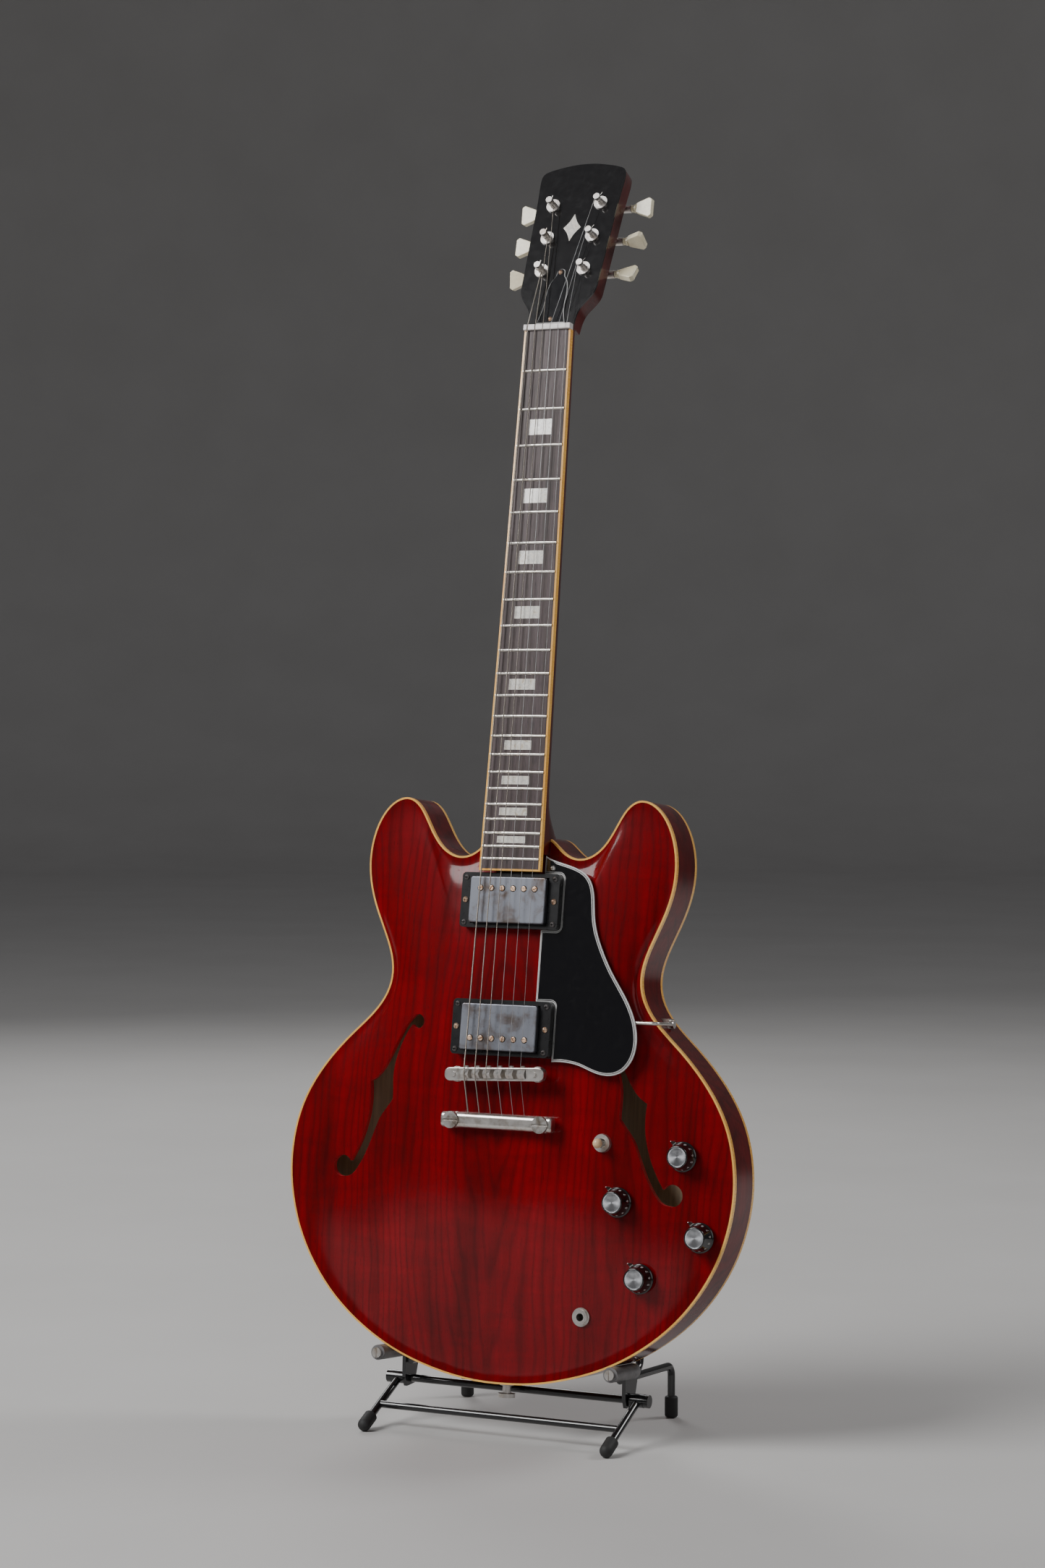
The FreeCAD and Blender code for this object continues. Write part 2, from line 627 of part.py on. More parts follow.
def ring_bed(y):
    """Cylinder lying along the body that follows the arch under a pickup ring."""
    reach = RING[1] / 2
    crown, side = top_z(0, y), top_z(RING[0] / 2, y)
    slope = math.atan2(top_z(0, y + reach) - top_z(0, y - reach), 2 * reach)
    drop = crown - side
    radius = ((RING[0] / 2) ** 2 + drop ** 2) / (2 * drop)
    along = V(0, math.cos(slope), math.sin(slope))
    start = V(0, y, crown + 0.1 - radius / math.cos(slope)) - along * 60
    return Part.makeCylinder(radius, 120, start, along)


def make_pickups():
    rings, covers, coils, screws = [], [], [], []
    for y, sign in ((NECK_PICKUP_Y, 1), (BRIDGE_PICKUP_Y, -1)):
        mid = neck_y(y)
        ring = box(-RING[0] / 2, RING[0] / 2, mid - RING[1] / 2, mid + RING[1] / 2, -19, -5.5)
        ring = ring.makeFillet(3.5, upright_edges(ring))
        hole = box(-COVER[0] / 2 - 0.4, COVER[0] / 2 + 0.4, mid - COVER[1] / 2 - 0.4,
                   mid + COVER[1] / 2 + 0.4, -30, 0)
        ring = ring.cut(hole)
        corners, lifts = [], []
        for x in (-RING[0] / 2 + 4.2, RING[0] / 2 - 4.2):
            for dy in (-RING[1] / 2 + 4.2, RING[1] / 2 - 4.2):
                corners.append(screw(x, mid + dy, -5.5, 2.3, 8.0, cross=True))
            lifts.append(screw(x, mid, -5.3, 2.4, 15.8))
        ring = cut(ring, corners + lifts)
        screws += [cut(from_neck(tool), TOP_MASS) for tool in corners]
        screws += [from_neck(tool) for tool in lifts]
        bed = TOP_MASS if sign > 0 else [ring_bed(y)]
        rings.append(cut(from_neck(ring), bed))
        cover = box(-COVER[0] / 2, COVER[0] / 2, mid - COVER[1] / 2, mid + COVER[1] / 2,
                    -18, -0.5)
        cover = cover.makeFillet(2.5, upright_edges(cover))
        cover = cover.makeFillet(1.0, [e for e in cover.Edges if e.BoundBox.ZMin > -1])
        bobbin = box(-COVER[0] / 2 + 1, COVER[0] / 2 - 1, mid - COVER[1] / 2 + 1,
                     mid + COVER[1] / 2 - 1, -19.5, -1.5)
        bobbin = cut(bobbin.fuse(box(-43, 43, mid - 6, mid + 6, -21.5, -19.5)), lifts)
        poles, windows = [], []
        row = mid + sign * 9.5
        for i in range(6):
            x = (i / 5.0 - 0.5) * POLE_SPAN
            pole = cyl(2.3, (x, row, -17), (x, row, 0.3))
            pole = pole.makeFillet(0.5, [e for e in pole.Edges if e.BoundBox.ZMin > 0])
            poles.append(cyl(2.3, (x, row, -17), (x, row, 1)))
            windows.append(cyl(2.75, (x, row, -3), (x, row, 1)))
            slot = box(x - 3, x + 3, row - 0.4, row + 0.4, -0.7, 1)
            slot.rotate(V(x, row, 0), V(0, 0, 1), 37.0 * i + 20.0 * sign)
            screws.append(from_neck(pole.cut(slot)))
        covers.append(from_neck(cut(cover, [bobbin] + windows)))
        coils.append(from_neck(cut(bobbin, poles)))
    keep_guitar("pickup_rings", group(rings))
    keep_guitar("pickup_covers", group(covers))
    keep_guitar("pickup_coils", group(coils))
    keep_guitar("pickup_screws", group(screws))


def screw(x, y, z, radius, length, cross=False):
    """Round-headed screw whose head sits half sunk at height z."""
    head = ball(radius * 1.25, (x, y, z - radius * 0.55))
    head = head.common(cyl(radius, (x, y, z - 1.2), (x, y, z + 4)))
    reach = radius * 0.6 if cross else radius + 1
    head = head.cut(box(x - 0.35, x + 0.35, y - reach, y + reach, z - 0.1, z + 4))
    if cross:
        head = head.cut(box(x - reach, x + reach, y - 0.35, y + 0.35, z - 0.1, z + 4))
    return head.fuse(cyl(radius * 0.55, (x, y, z - length), (x, y, z - 0.6)))


def upright_edges(solid):
    return [e for e in solid.Edges if e.BoundBox.ZLength > 3 and e.BoundBox.XLength < 0.01
            and e.BoundBox.YLength < 0.01]


def make_bridge():
    (x0, y0), (x1, y1) = BRIDGE_TILT
    turn = FreeCAD.Rotation(V(0, 0, 1), math.degrees(math.atan2(y1 - y0, x1 - x0)))
    centre = V((x0 + x1) / 2, (y0 + y1) / 2, 0)
    body = box(-45.5, 45.5, -5.6, 5.6, 24.5, 31.3)
    body = body.makeFillet(5.0, upright_edges(body))
    body = body.makeFillet(1.0, [e for e in body.Edges if e.BoundBox.ZMin > 31.2])
    body = body.cut(box(-29.5, 29.5, -3.7, 3.7, 27.0, 40))
    body = placed(body, centre, turn)
    posts = []
    for x, y in BRIDGE_TILT:
        rod = cyl(2.5, (x, y, -14), (x, y, 21.5)).fuse(cyl(6.5, (x, y, 21.8), (x, y, 24.5)))
        rod = rod.fuse(cyl(2.0, (x, y, 21), (x, y, 32.5)))
        posts.append(rod)
        body = body.cut(cyl(2.0, (x, y, 20), (x, y, 40)))
    saddles, screws = [], []
    for i in range(6):
        path = string_path(i)
        x = path[1][0]
        peak = from_neck_point(path[1])
        radius = STRING_D[i] / 2
        top = peak.z - radius
        wedge = Part.makePolygon([V(x - 3.2, -3.6, 27.0), V(x - 3.2, 3.6, 27.0),
                                  V(x - 3.2, 3.6, top - 2.5), V(x - 3.2, 0.6, top + 0.25),
                                  V(x - 3.2, -0.6, top + 0.25), V(x - 3.2, -3.6, top - 2.5),
                                  V(x - 3.2, -3.6, 27.0)])
        saddle = Part.Face(wedge).extrude(V(6.4, 0, 0))
        shank = fuse([cyl(1.0, (x, -3.7, 29), (x, 6.4, 29)), cyl(1.9, (x, 5.6, 29), (x, 6.9, 29))])
        body = body.cut(placed(shank, centre, turn))
        screws.append(placed(shank, centre, turn))
        saddle = placed(saddle.cut(shank), centre, turn)
        ends = [from_neck_point(p) for p in path[:3]]
        for a, b in zip(ends, ends[1:]):
            saddle = saddle.cut(cyl(radius, tuple(a), tuple(b)))
        saddles.append(saddle.cut(ball(radius, tuple(peak))))
    keep_guitar("bridge", body)
    keep_guitar("bridge_posts", group(posts))
    keep_guitar("bridge_saddles", group(saddles + screws))


def make_tailpiece():
    bar = box(-51, 51, TAIL_Y - 6, TAIL_Y + 6.5, 14.5, 24.5)
    bar = bar.makeFillet(3.6, [e for e in bar.Edges if e.BoundBox.XLength > 50])
    bar = bar.makeFillet(2.0, [e for e in bar.Edges if e.BoundBox.XLength < 0.01])
    studs = []
    for x in (-TAIL_STUDS, TAIL_STUDS):
        bar = bar.cut(cyl(4.4, (x, TAIL_Y, 10), (x, TAIL_Y, 22.6)))
        bar = bar.cut(cyl(7.3, (x, TAIL_Y, 22.6), (x, TAIL_Y, 30)))
        stud = fuse([cyl(5.5, (x, TAIL_Y, -14), (x, TAIL_Y, 13.2)),
                     cyl(6.6, (x, TAIL_Y, 13.1), (x, TAIL_Y, 14.5)),
                     cyl(4.4, (x, TAIL_Y, 14), (x, TAIL_Y, 22.6)),
                     cyl(7.0, (x, TAIL_Y, 22.6), (x, TAIL_Y, 26.2))])
        studs.append(stud.cut(box(x - 8, x + 8, TAIL_Y - 0.9, TAIL_Y + 0.9, 24.6, 30)))
    keep_guitar("stop_tailpiece", bar)
    keep_guitar("tailpiece_studs", group(studs))


def make_pickguard():
    curve = Part.BSplineCurve()
    curve.interpolate([V(x, neck_y(y), 0) for x, y in GUARD_CURVE])
    ends = GUARD_CURVE[-1], GUARD_CURVE[0]
    inner = neck_y(BRIDGE_PICKUP_Y)
    corners = [V(ends[0][0], neck_y(ends[0][1]), 0), V(ends[0][0], inner, 0),
               V(GUARD_LEFT, inner, 0), V(GUARD_LEFT, neck_y(ends[1][1]), 0)]
    edges = [curve.toShape()]
    edges += [Part.makeLine(a, b) for a, b in zip(corners, corners[1:])]
    guard = slab(Part.Wire(edges), GUARD_Z, GUARD_Z + GUARD_T)
    for y in (NECK_PICKUP_Y, BRIDGE_PICKUP_Y):
        mid = neck_y(y)
        notch = box(-RING[0] / 2 - 0.3, RING[0] / 2 + 0.3, mid - RING[1] / 2 - 0.3,
                    mid + RING[1] / 2 + 0.3, -30, 0)
        guard = guard.cut(notch.makeFillet(3.7, upright_edges(notch)))
    pin = screw(GUARD_PIN[0], neck_y(GUARD_PIN[1]), GUARD_Z + GUARD_T, 2.5, 11.0)
    guard = from_neck(guard.cut(pin))
    pin = cut(from_neck(pin), TOP_MASS)
    at_z = BOARD_Z - BRACKET_Y * math.tan(math.radians(NECK_ANGLE)) + GUARD_Z
    side = 132.0
    rod_z = at_z - 2.0
    rod = bent_rod([(96, BRACKET_Y, rod_z), (side + 4, BRACKET_Y, rod_z),
                    (side + 4, BRACKET_Y, -20)], 1.5, 4.0)
    tab = box(94, 104, BRACKET_Y - 4, BRACKET_Y + 4, rod_z - 1.5, at_z - 0.4).cut(guard)
    lug = box(side - 8, side + 2.6, BRACKET_Y - 4.5, BRACKET_Y + 4.5, -26, -16)
    lug = fuse([lug, cyl(3.4, (side + 2, BRACKET_Y, -21), (side + 5.5, BRACKET_Y, -21))])
    lug = lug.cut(slab(closed_spline(OUTLINE), -RIM_DEPTH, 0))
    nut = Part.makeCylinder(2.4, 1.2, V(99, BRACKET_Y, at_z - 0.5), V(0, 0, 1))
    keep_guitar("pickguard", guard)
    bracket = fuse([rod, tab, lug, nut]).cut(guard)
    keep_guitar("pickguard_fixings", group([bracket, pin]))


def knob(x, y, z):
    top = z + KNOB_H
    skirt = cyl(12.3, (x, y, z + 1.9), (x, y, z + 3.6))
    body = Part.makeCone(11.4, 8.9, KNOB_H - 3.6, V(x, y, z + 3.6), V(0, 0, 1))
    body = body.makeFillet(0.8, [e for e in body.Edges if e.BoundBox.ZMin > top - 0.1])
    body = fuse([skirt, body]).cut(cyl(7.6, (x, y, z), (x, y, z + 4.2)))
    body = body.cut(cyl(7.9, (x, y, top - 0.5), (x, y, top + 4)))
    return body.fuse(cyl(3.0, (x, y, z - 12), (x, y, z + 6)))


def make_controls():
    pots, pointers = [], []
    raised = [piece.translated(V(0, 0, GLUE)) for piece in TOP_MASS]
    for i, (x, y) in enumerate(KNOBS):
        z = top_z(x, y)
        can = cyl(12.0, (x, y, z - 18.0), (x, y, z - 7.0))
        neck_tube = cyl(4.6, (x, y, z - 7.1), (x, y, z + 3.2))
        hexagon = [(x + 6.6 * math.cos(math.radians(60 * k)),
                    y + 6.6 * math.sin(math.radians(60 * k))) for k in range(6)]
        nut = cut(polygon(hexagon, z + 0.9, z + 3.0), TOP_MASS)
        washer = cyl(6.6, (x, y, z - 8), (x, y, z)).cut(cyl(4.5, (x, y, z - 9), (x, y, z + 1)))
        washer = washer.common(TOP_ARCH.translated(V(0, 0, -PLATE)))
        pot = fuse([can, neck_tube, nut, washer])
        pots.append(pot.cut(cyl(3.0 + RUN, (x, y, z - 12.5), (x, y, z + 5))))
        arm = polygon([(x - 2.6, y + 4.0), (x + 1.5, y + 5.5), (x - 9.0, y + 13.0),
                       (x - 10.5, y + 12.0)], z - 1.5, z + 0.9)
        ring = cyl(7.4, (x, y, z - 1.5), (x, y, z + 0.9)).fuse(arm)
        pointers.append(cut(ring, [cyl(4.6, (x, y, z - 9), (x, y, z + 9))] + raised))
        keep_guitar("knob_%d" % (i + 1), knob(x, y, z))
    keep_guitar("potentiometers", group(pots))
    keep_guitar("knob_pointers", group(pointers))
    PARTS["knob_pointers"] = PARTS["knob_pointers"].cut(PARTS["body_top"])

    x, y = TOGGLE
    z = top_z(x, y)
    barrel = cyl(6.1, (x, y, z - 9), (x, y, z + 2.0))
    nut = cut(Part.makeCone(8.0, 7.2, 2.8, V(x, y, z - 0.8), V(0, 0, 1)), TOP_MASS)
    case = box(x - 7, x + 7, y - 10, y + 10, z - 30, z - 8)
    switch = fuse([barrel, nut, case]).cut(cyl(2.3, (x, y, z - 6), (x, y, z + 8)))
    switch = switch.cut(Part.makeCone(2.3, 4.4, 6.0, V(x, y, z - 2.5), V(0, 0, 1)))
    pivot = z - 3
    switch = switch.cut(cyl(0.9 + RUN, (x - 4.5, y, pivot), (x + 4.5, y, pivot)))
    keep_guitar("toggle_switch", switch)
    stem = cyl(1.4, (x, y, pivot), (x, y, z + 7)).fuse(ball(2.2, (x, y, pivot)))
    stem = stem.fuse(cyl(0.9, (x - 4.4, y, pivot), (x + 4.4, y, pivot)))
    tip = Part.makeCone(2.4, 4.0, 4.5, V(x, y, z + 5.0), V(0, 0, 1))
    keep_guitar("toggle_lever", fuse([stem, tip, ball(4.0, (x, y, z + 9.5))]))

    x, y = JACK
    z = top_z(x, y)
    collar = cut(cyl(7.7, (x, y, z - 1.5), (x, y, z + 1.4)), TOP_MASS)
    jack = fuse([cyl(4.8, (x, y, z - 28), (x, y, z + 3.2)), collar,
                 cyl(6.0, (x, y, z + 1.4), (x, y, z + 2.8))])
    keep_guitar("output_jack", jack.cut(cyl(JACK_BORE, (x, y, z - 26), (x, y, z + 5))))


def strap_button(start, way):
    """Button on its screw; start is on the wood, way points out."""
    start, way = V(*start), V(*way)
    profile = ((2.0, -18.0, 1.0), (6.0, -1.5, 2.5), (3.6, 0.0, 10.5), (7.2, 9.2, 12.6))
    rings = [Part.makeCylinder(r, b - a, start + way * a, way) for r, a, b in profile]
    return fuse(rings)


def make_strap_buttons():
    tail = strap_button((0, -256.5, -RIM_DEPTH / 2), (0, -1, 0))
    solid = slab(closed_spline(OUTLINE), -RIM_DEPTH, 0)
    screw_zone = cyl(2.0, (0, -258, -RIM_DEPTH / 2), (0, -236, -RIM_DEPTH / 2))
    tail = tail.cut(solid.cut(screw_zone))
    back_z = -RIM_DEPTH - height_on(BACK_ARCH, 0, HEEL_BUTTON_Y)
    heel = strap_button((0, HEEL_BUTTON_Y, back_z), (0, 0, -1))
    shank = cyl(2.0, (0, HEEL_BUTTON_Y, -60), (0, HEEL_BUTTON_Y, -24))
    heel = heel.cut(under_back(BACK_ARCH).cut(shank))
    keep_guitar("strap_buttons", group([tail, heel]))


# ---- stand ----
def peg_axis_y():
    """Height on the body at which a sleeve just clears the lower bout."""
    edge = closed_spline(OUTLINE)
    y = -240.0
    for _ in range(8):
        gap = Part.Vertex(V(PEG_X, y, 0)).distToShape(edge)[0]
        y += 1.1 * (gap - SLEEVE_R - REST_GAP)
    return y


def keep_stand(name, shape):
    PARTS[name] = stand_part(shape)


def both(shape):
    return group(both_sides(shape))


def make_stand():
    peg_y = peg_axis_y()
    front = in_room((PEG_X, peg_y, PEG_FRONT))
    corner = in_room((PEG_X, peg_y, PEG_BACK))
    back_z = -RIM_DEPTH - height_on(BACK_ARCH, 0, REST_BODY_Y) - SLEEVE_R - REST_GAP
    bar = in_room((REST_HALF, REST_BODY_Y, back_z))
    flip = [(-x, y, z) for x, y, z in (bar, corner, front)]
    cradle = bent_rod([front, corner, bar] + flip, ROD_R, 12.0)
    sleeve_front = in_room((PEG_X, peg_y, PEG_FRONT - 0.5))
    sleeve_back = in_room((PEG_X, peg_y, PEG_BACK + 14.5))
    sleeve = cyl(SLEEVE_R, sleeve_front, sleeve_back).cut(cyl(ROD_R, front, corner))
    keep_stand("peg_sleeves", both(sleeve))
    cap_end = in_room((PEG_X, peg_y, PEG_FRONT + 2.2))
    cap = cyl(4.2, front, cap_end)
    cap = cap.cut(box(PEG_X - 0.6, PEG_X + 0.6, cap_end[1] - 1, cap_end[1] + 0.9,
                      cap_end[2] - 6, cap_end[2] + 6))
    keep_stand("peg_caps", both(cap))
    half = REST_HALF - 15.0
    pad = cyl(SLEEVE_R, (-half, bar[1], bar[2]), (half, bar[1], bar[2]))
    pad = pad.cut(cyl(ROD_R, (-half - 1, bar[1], bar[2]), (half + 1, bar[1], bar[2])))
    keep_stand("rest_sleeve", pad)

    hinge_y, hinge_z = HINGE
    plate_x = PEG_X - ROD_R
    slope = (corner[2] - front[2]) / (corner[1] - front[1])

    def peg_z(y):
        return front[2] + slope * (y - front[1])

    outline = [(hinge_y - 8, peg_z(hinge_y - 8) + 1.0), (26.0, peg_z(26.0) + 1.0),
               (27.0, 47.0), (20.0, 28.5), (hinge_y - 6, 28.0), (hinge_y - 9, 36.0)]
    face = Part.Face(Part.makePolygon([V(plate_x, y, z) for y, z in outline + outline[:1]]))
    bracket = face.extrude(V(-3.2, 0, 0))
    bracket = bracket.cut(cyl(ROD_R, (60, hinge_y, hinge_z), (130, hinge_y, hinge_z)))
    bracket = cut(bracket, [cyl(ROD_R, front, corner),
                            cyl(SLEEVE_R + GLUE, sleeve_front, sleeve_back)])
    keep_stand("side_brackets", both(bracket))
    keep_stand("cradle_rod", cradle)

    tube = cyl(ROD_R, (-119, hinge_y, hinge_z), (119, hinge_y, hinge_z))
    bolt = cyl(5.4, (117.2, hinge_y, hinge_z), (121.5, hinge_y, hinge_z))
    bolt = bolt.cut(cyl(ROD_R, (100, hinge_y, hinge_z), (119, hinge_y, hinge_z)))
    keep_stand("hinge_tube", fuse([tube] + both_sides(bolt)))

    rear_x = plate_x - 3.2 - ROD_R
    rear = bent_rod([(rear_x, 6, 50.5), (rear_x, REAR_Y, REAR_Z), (rear_x, REAR_Y, 4)],
                    ROD_R, 9.0)
    keep_stand("rear_legs", both(rear))
    foot = cyl(FOOT_R, (rear_x, REAR_Y, 0), (rear_x, REAR_Y, 18))
    foot = foot.makeFillet(2.0, [foot.Edges[0], foot.Edges[2]])
    keep_stand("rear_feet", both(foot.cut(rear)))

    knuckle = cyl(5.6, (LEG_X - 6, hinge_y, hinge_z), (LEG_X + 6, hinge_y, hinge_z))
    end = (LEG_X, FOOT_FRONT_Y, FOOT_R - 0.4)
    leg = cyl(ROD_R, (LEG_X, hinge_y, hinge_z), end)
    leg = fuse([knuckle, leg])
    leg = leg.cut(cyl(ROD_R + RUN, (80, hinge_y, hinge_z), (130, hinge_y, hinge_z)))
    run = V(0, hinge_y - end[1], hinge_z - end[2]).normalize()
    bar_at = V(*end) + run * 29.0
    cross = cyl(3.0, (-LEG_X, bar_at.y, bar_at.z), (LEG_X, bar_at.y, bar_at.z))
    keep_stand("front_legs", fuse(both_sides(leg) + [cross]))
    tip = V(*end)
    boot = Part.makeCylinder(FOOT_R, 12, tip, run).fuse(Part.makeSphere(FOOT_R, tip))
    boot = boot.cut(cyl(ROD_R, end, tuple(tip + run * 40)))
    boot = boot.cut(box(60, 160, -90, 0, -5, 0))
    keep_stand("front_feet", both(boot))


def main():
    make_body()
    make_neck()
    make_tuners()
    make_strings()
    make_pickups()
    make_bridge()
    make_tailpiece()
    make_pickguard()
    make_controls()
    make_strap_buttons()
    make_stand()
    os.makedirs("parts", exist_ok=True)
    for name, shape in PARTS.items():
        shape.exportStep("parts/%s.step" % name)


main()
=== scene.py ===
"""Looks of the guitar on its stand: materials, fine pieces, light and camera."""
import json
import math
import bmesh
import bpy
from mathutils import Matrix, Vector
from mathutils.bvhtree import BVHTree
from mathutils.geometry import intersect_line_line_2d


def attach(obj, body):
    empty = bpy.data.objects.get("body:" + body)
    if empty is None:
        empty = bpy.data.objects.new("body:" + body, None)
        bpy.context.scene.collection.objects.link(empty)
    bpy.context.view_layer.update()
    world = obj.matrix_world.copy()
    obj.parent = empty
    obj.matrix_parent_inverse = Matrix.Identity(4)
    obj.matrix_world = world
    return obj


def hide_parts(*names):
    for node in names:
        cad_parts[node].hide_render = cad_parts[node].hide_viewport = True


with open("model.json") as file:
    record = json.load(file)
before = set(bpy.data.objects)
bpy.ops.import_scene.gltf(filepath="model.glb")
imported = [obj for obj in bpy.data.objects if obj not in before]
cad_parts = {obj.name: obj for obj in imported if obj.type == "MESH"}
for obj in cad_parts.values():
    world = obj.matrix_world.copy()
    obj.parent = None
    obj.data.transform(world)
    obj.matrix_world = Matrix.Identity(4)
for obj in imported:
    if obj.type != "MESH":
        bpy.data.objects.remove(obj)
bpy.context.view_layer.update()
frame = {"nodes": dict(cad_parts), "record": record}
NODES = frame["nodes"]

# ---- frames of the object, metres ----
MM = 0.001
LEAN = math.radians(84.0)
SHIFT = Vector((0.0, -0.050, 0.300))
GUITAR = Matrix.Translation(SHIFT) @ Matrix.Rotation(LEAN, 4, "X")
NECK = GUITAR @ Matrix.Translation((0, 0, 0.030)) @ Matrix.Rotation(math.radians(-3.2), 4, "X")
HEAD = NECK @ Matrix.Translation((0, 0.6302, -0.0046)) @ Matrix.Rotation(
    math.radians(-17.0), 4, "X")

# ---- looks and sizes that the shape of the object doesn't fix ----
CHERRY_DARK = (0.105, 0.0002, 0.0012)
CHERRY_LIGHT = (0.235, 0.0004, 0.0050)
POINTER_ANGLE = 130.0     # where a knob's pointer stands, degrees from +x
NUMBER_STEP = 30.0        # degrees between a knob's numbers
NUMBER_SIZE = 0.0040
LATHE_STEPS = 72
COVER_PINS = (0.0070, 0.0534)   # the truss rod cover's screws, along the headstock
PIN_RADIUS = 0.00206
LONGEST_TANGLE = 12
SWEEP_FLAT = 9.0          # the floor runs flat this far, then curves up
SWEEP_BEND = 3.0
SWEEP_HEIGHT = 5.0
OUTLINE_STEP = 0.0004     # closest two points of a plate's outline
INLAY_CENTRE = 0.100      # along the headstock
INLAY_HALF = (0.0082, 0.0138)


# ---- node materials ----
class Graph:
    """Shorthand for one node material."""

    def __init__(self, name, **constants):
        self.material = bpy.data.materials.new(name)
        self.material.use_nodes = True
        self.tree = self.material.node_tree
        self.shader = self.tree.nodes["Principled BSDF"]
        self.feed(self.shader, {k.replace("_", " "): v for k, v in constants.items()})

    def feed(self, node, inputs):
        for key, value in inputs.items():
            if isinstance(value, bpy.types.NodeSocket):
                self.tree.links.new(value, node.inputs[key])
            else:
                node.inputs[key].default_value = value

    def put(self, kind, inputs=None, **settings):
        node = self.tree.nodes.new(kind)
        for key, value in settings.items():
            setattr(node, key, value)
        self.feed(node, inputs or {})
        return node

    def place(self, where=None, stretch=(1, 1, 1)):
        """Coordinates in one of the object's frames, stretched along its axes."""
        out = self.put("ShaderNodeTexCoord").outputs["Object"]
        if where is not None:
            back = where.inverted()
            out = self.put("ShaderNodeMapping", {
                "Vector": out, "Location": back.to_translation(),
                "Rotation": back.to_euler()}).outputs[0]
        return self.put("ShaderNodeMapping", {"Vector": out, "Scale": stretch}).outputs[0]

    def noise(self, vector, scale, detail=4.0, rough=0.55, bend=0.0):
        return self.put("ShaderNodeTexNoise", {
            "Vector": vector, "Scale": scale, "Detail": detail, "Roughness": rough,
            "Distortion": bend}).outputs[0]

    def ramp(self, factor, *stops):
        node = self.put("ShaderNodeValToRGB", {"Fac": factor})
        band = node.color_ramp.elements
        while len(band) < len(stops):
            band.new(0.5)
        for element, (position, colour) in zip(band, stops):
            element.position = position
            if not isinstance(colour, tuple):
                colour = (colour, colour, colour)
            element.color = (*colour, 1.0)
        return node.outputs[0]

    def mix(self, factor, a, b, blend="MIX"):
        node = self.put("ShaderNodeMix", data_type="RGBA", blend_type=blend)
        for index, value in ((0, factor), (6, a), (7, b)):
            if isinstance(value, bpy.types.NodeSocket):
                self.tree.links.new(value, node.inputs[index])
            else:
                node.inputs[index].default_value = value if index == 0 else (*value, 1.0)
        return node.outputs[2]

    def maths(self, kind, a, b=0.0, c=0.0):
        return self.put("ShaderNodeMath", {0: a, 1: b, 2: c}, operation=kind).outputs[0]

    def split(self, vector):
        return self.put("ShaderNodeSeparateXYZ", {"Vector": vector}).outputs

    def finish(self, colour=None, rough=None, height=None, depth=0.0001, strength=0.5):
        if colour is not None:
            self.feed(self.shader, {"Base Color": colour})
        if rough is not None:
            self.feed(self.shader, {"Roughness": rough})
        if height is not None:
            bump = self.put("ShaderNodeBump", {
                "Height": height, "Strength": strength, "Distance": depth})
            self.feed(self.shader, {"Normal": bump.outputs[0]})
        return self.material


def growth_rings(g, where, spread, apex):
    """Nested arches of flat-sawn wood along y, as a wave from 0 to 1."""
    x, y, _ = g.split(g.place(where))
    drift = g.maths("MULTIPLY", g.noise(g.place(where, (1, 0.22, 1)), 16.0, 3.0, 0.55), 0.045)
    along = g.maths("MULTIPLY", g.maths("SUBTRACT", y, apex), 0.13)
    across = g.maths("MULTIPLY", x, x)
    reach = g.maths("SQRT", g.maths("ADD", across, g.maths("MULTIPLY", along, along)))
    phase = g.maths("MULTIPLY", g.maths("ADD", reach, drift), 6.2832 / spread)
    return g.maths("MULTIPLY_ADD", g.maths("SINE", phase), 0.5, 0.5)


def cherry(name, dark, light, **more):
    """Translucent cherry over flat-sawn maple under a thick clear coat."""
    g = Graph(name, Coat_Weight=1.0, Coat_Roughness=0.10, Coat_IOR=1.32,
              Specular_IOR_Level=0.05, **more)
    rings = growth_rings(g, GUITAR, 0.0075, -0.02)
    bands = g.noise(g.place(GUITAR, (1, 0.10, 1)), 46.0, 3.0, 0.5, 0.4)
    lines = g.noise(g.place(GUITAR, (1, 0.030, 1)), 520.0, 5.0, 0.7)
    flame = g.noise(g.place(GUITAR, (0.30, 1, 1)), 60.0, 2.0, 0.5, 1.2)
    flecks = g.noise(g.place(GUITAR, (1, 0.09, 1)), 1500.0, 2.0, 0.6)
    patches = g.noise(g.place(GUITAR), 7.0, 2.0, 0.5)
    colour = g.ramp(bands, (0.25, dark), (0.75, light))
    colour = g.mix(0.45, colour, g.ramp(rings, (0.0, 0.50), (0.30, 1.0), (1.0, 1.2)),
                   "MULTIPLY")
    colour = g.mix(0.32, colour, g.ramp(lines, (0.3, 0.50), (0.7, 1.20)), "MULTIPLY")
    colour = g.mix(0.28, colour, g.ramp(flame, (0.35, 0.65), (0.65, 1.25)), "MULTIPLY")
    colour = g.mix(0.55, colour, g.ramp(flecks, (0.28, 0.25), (0.38, 1.0)), "MULTIPLY")
    colour = g.mix(0.45, colour, g.ramp(patches, (0.3, 0.72), (0.7, 1.15)), "MULTIPLY")
    return g.finish(colour, g.ramp(lines, (0.3, 0.48), (0.7, 0.38)), lines, 0.00003, 0.2)


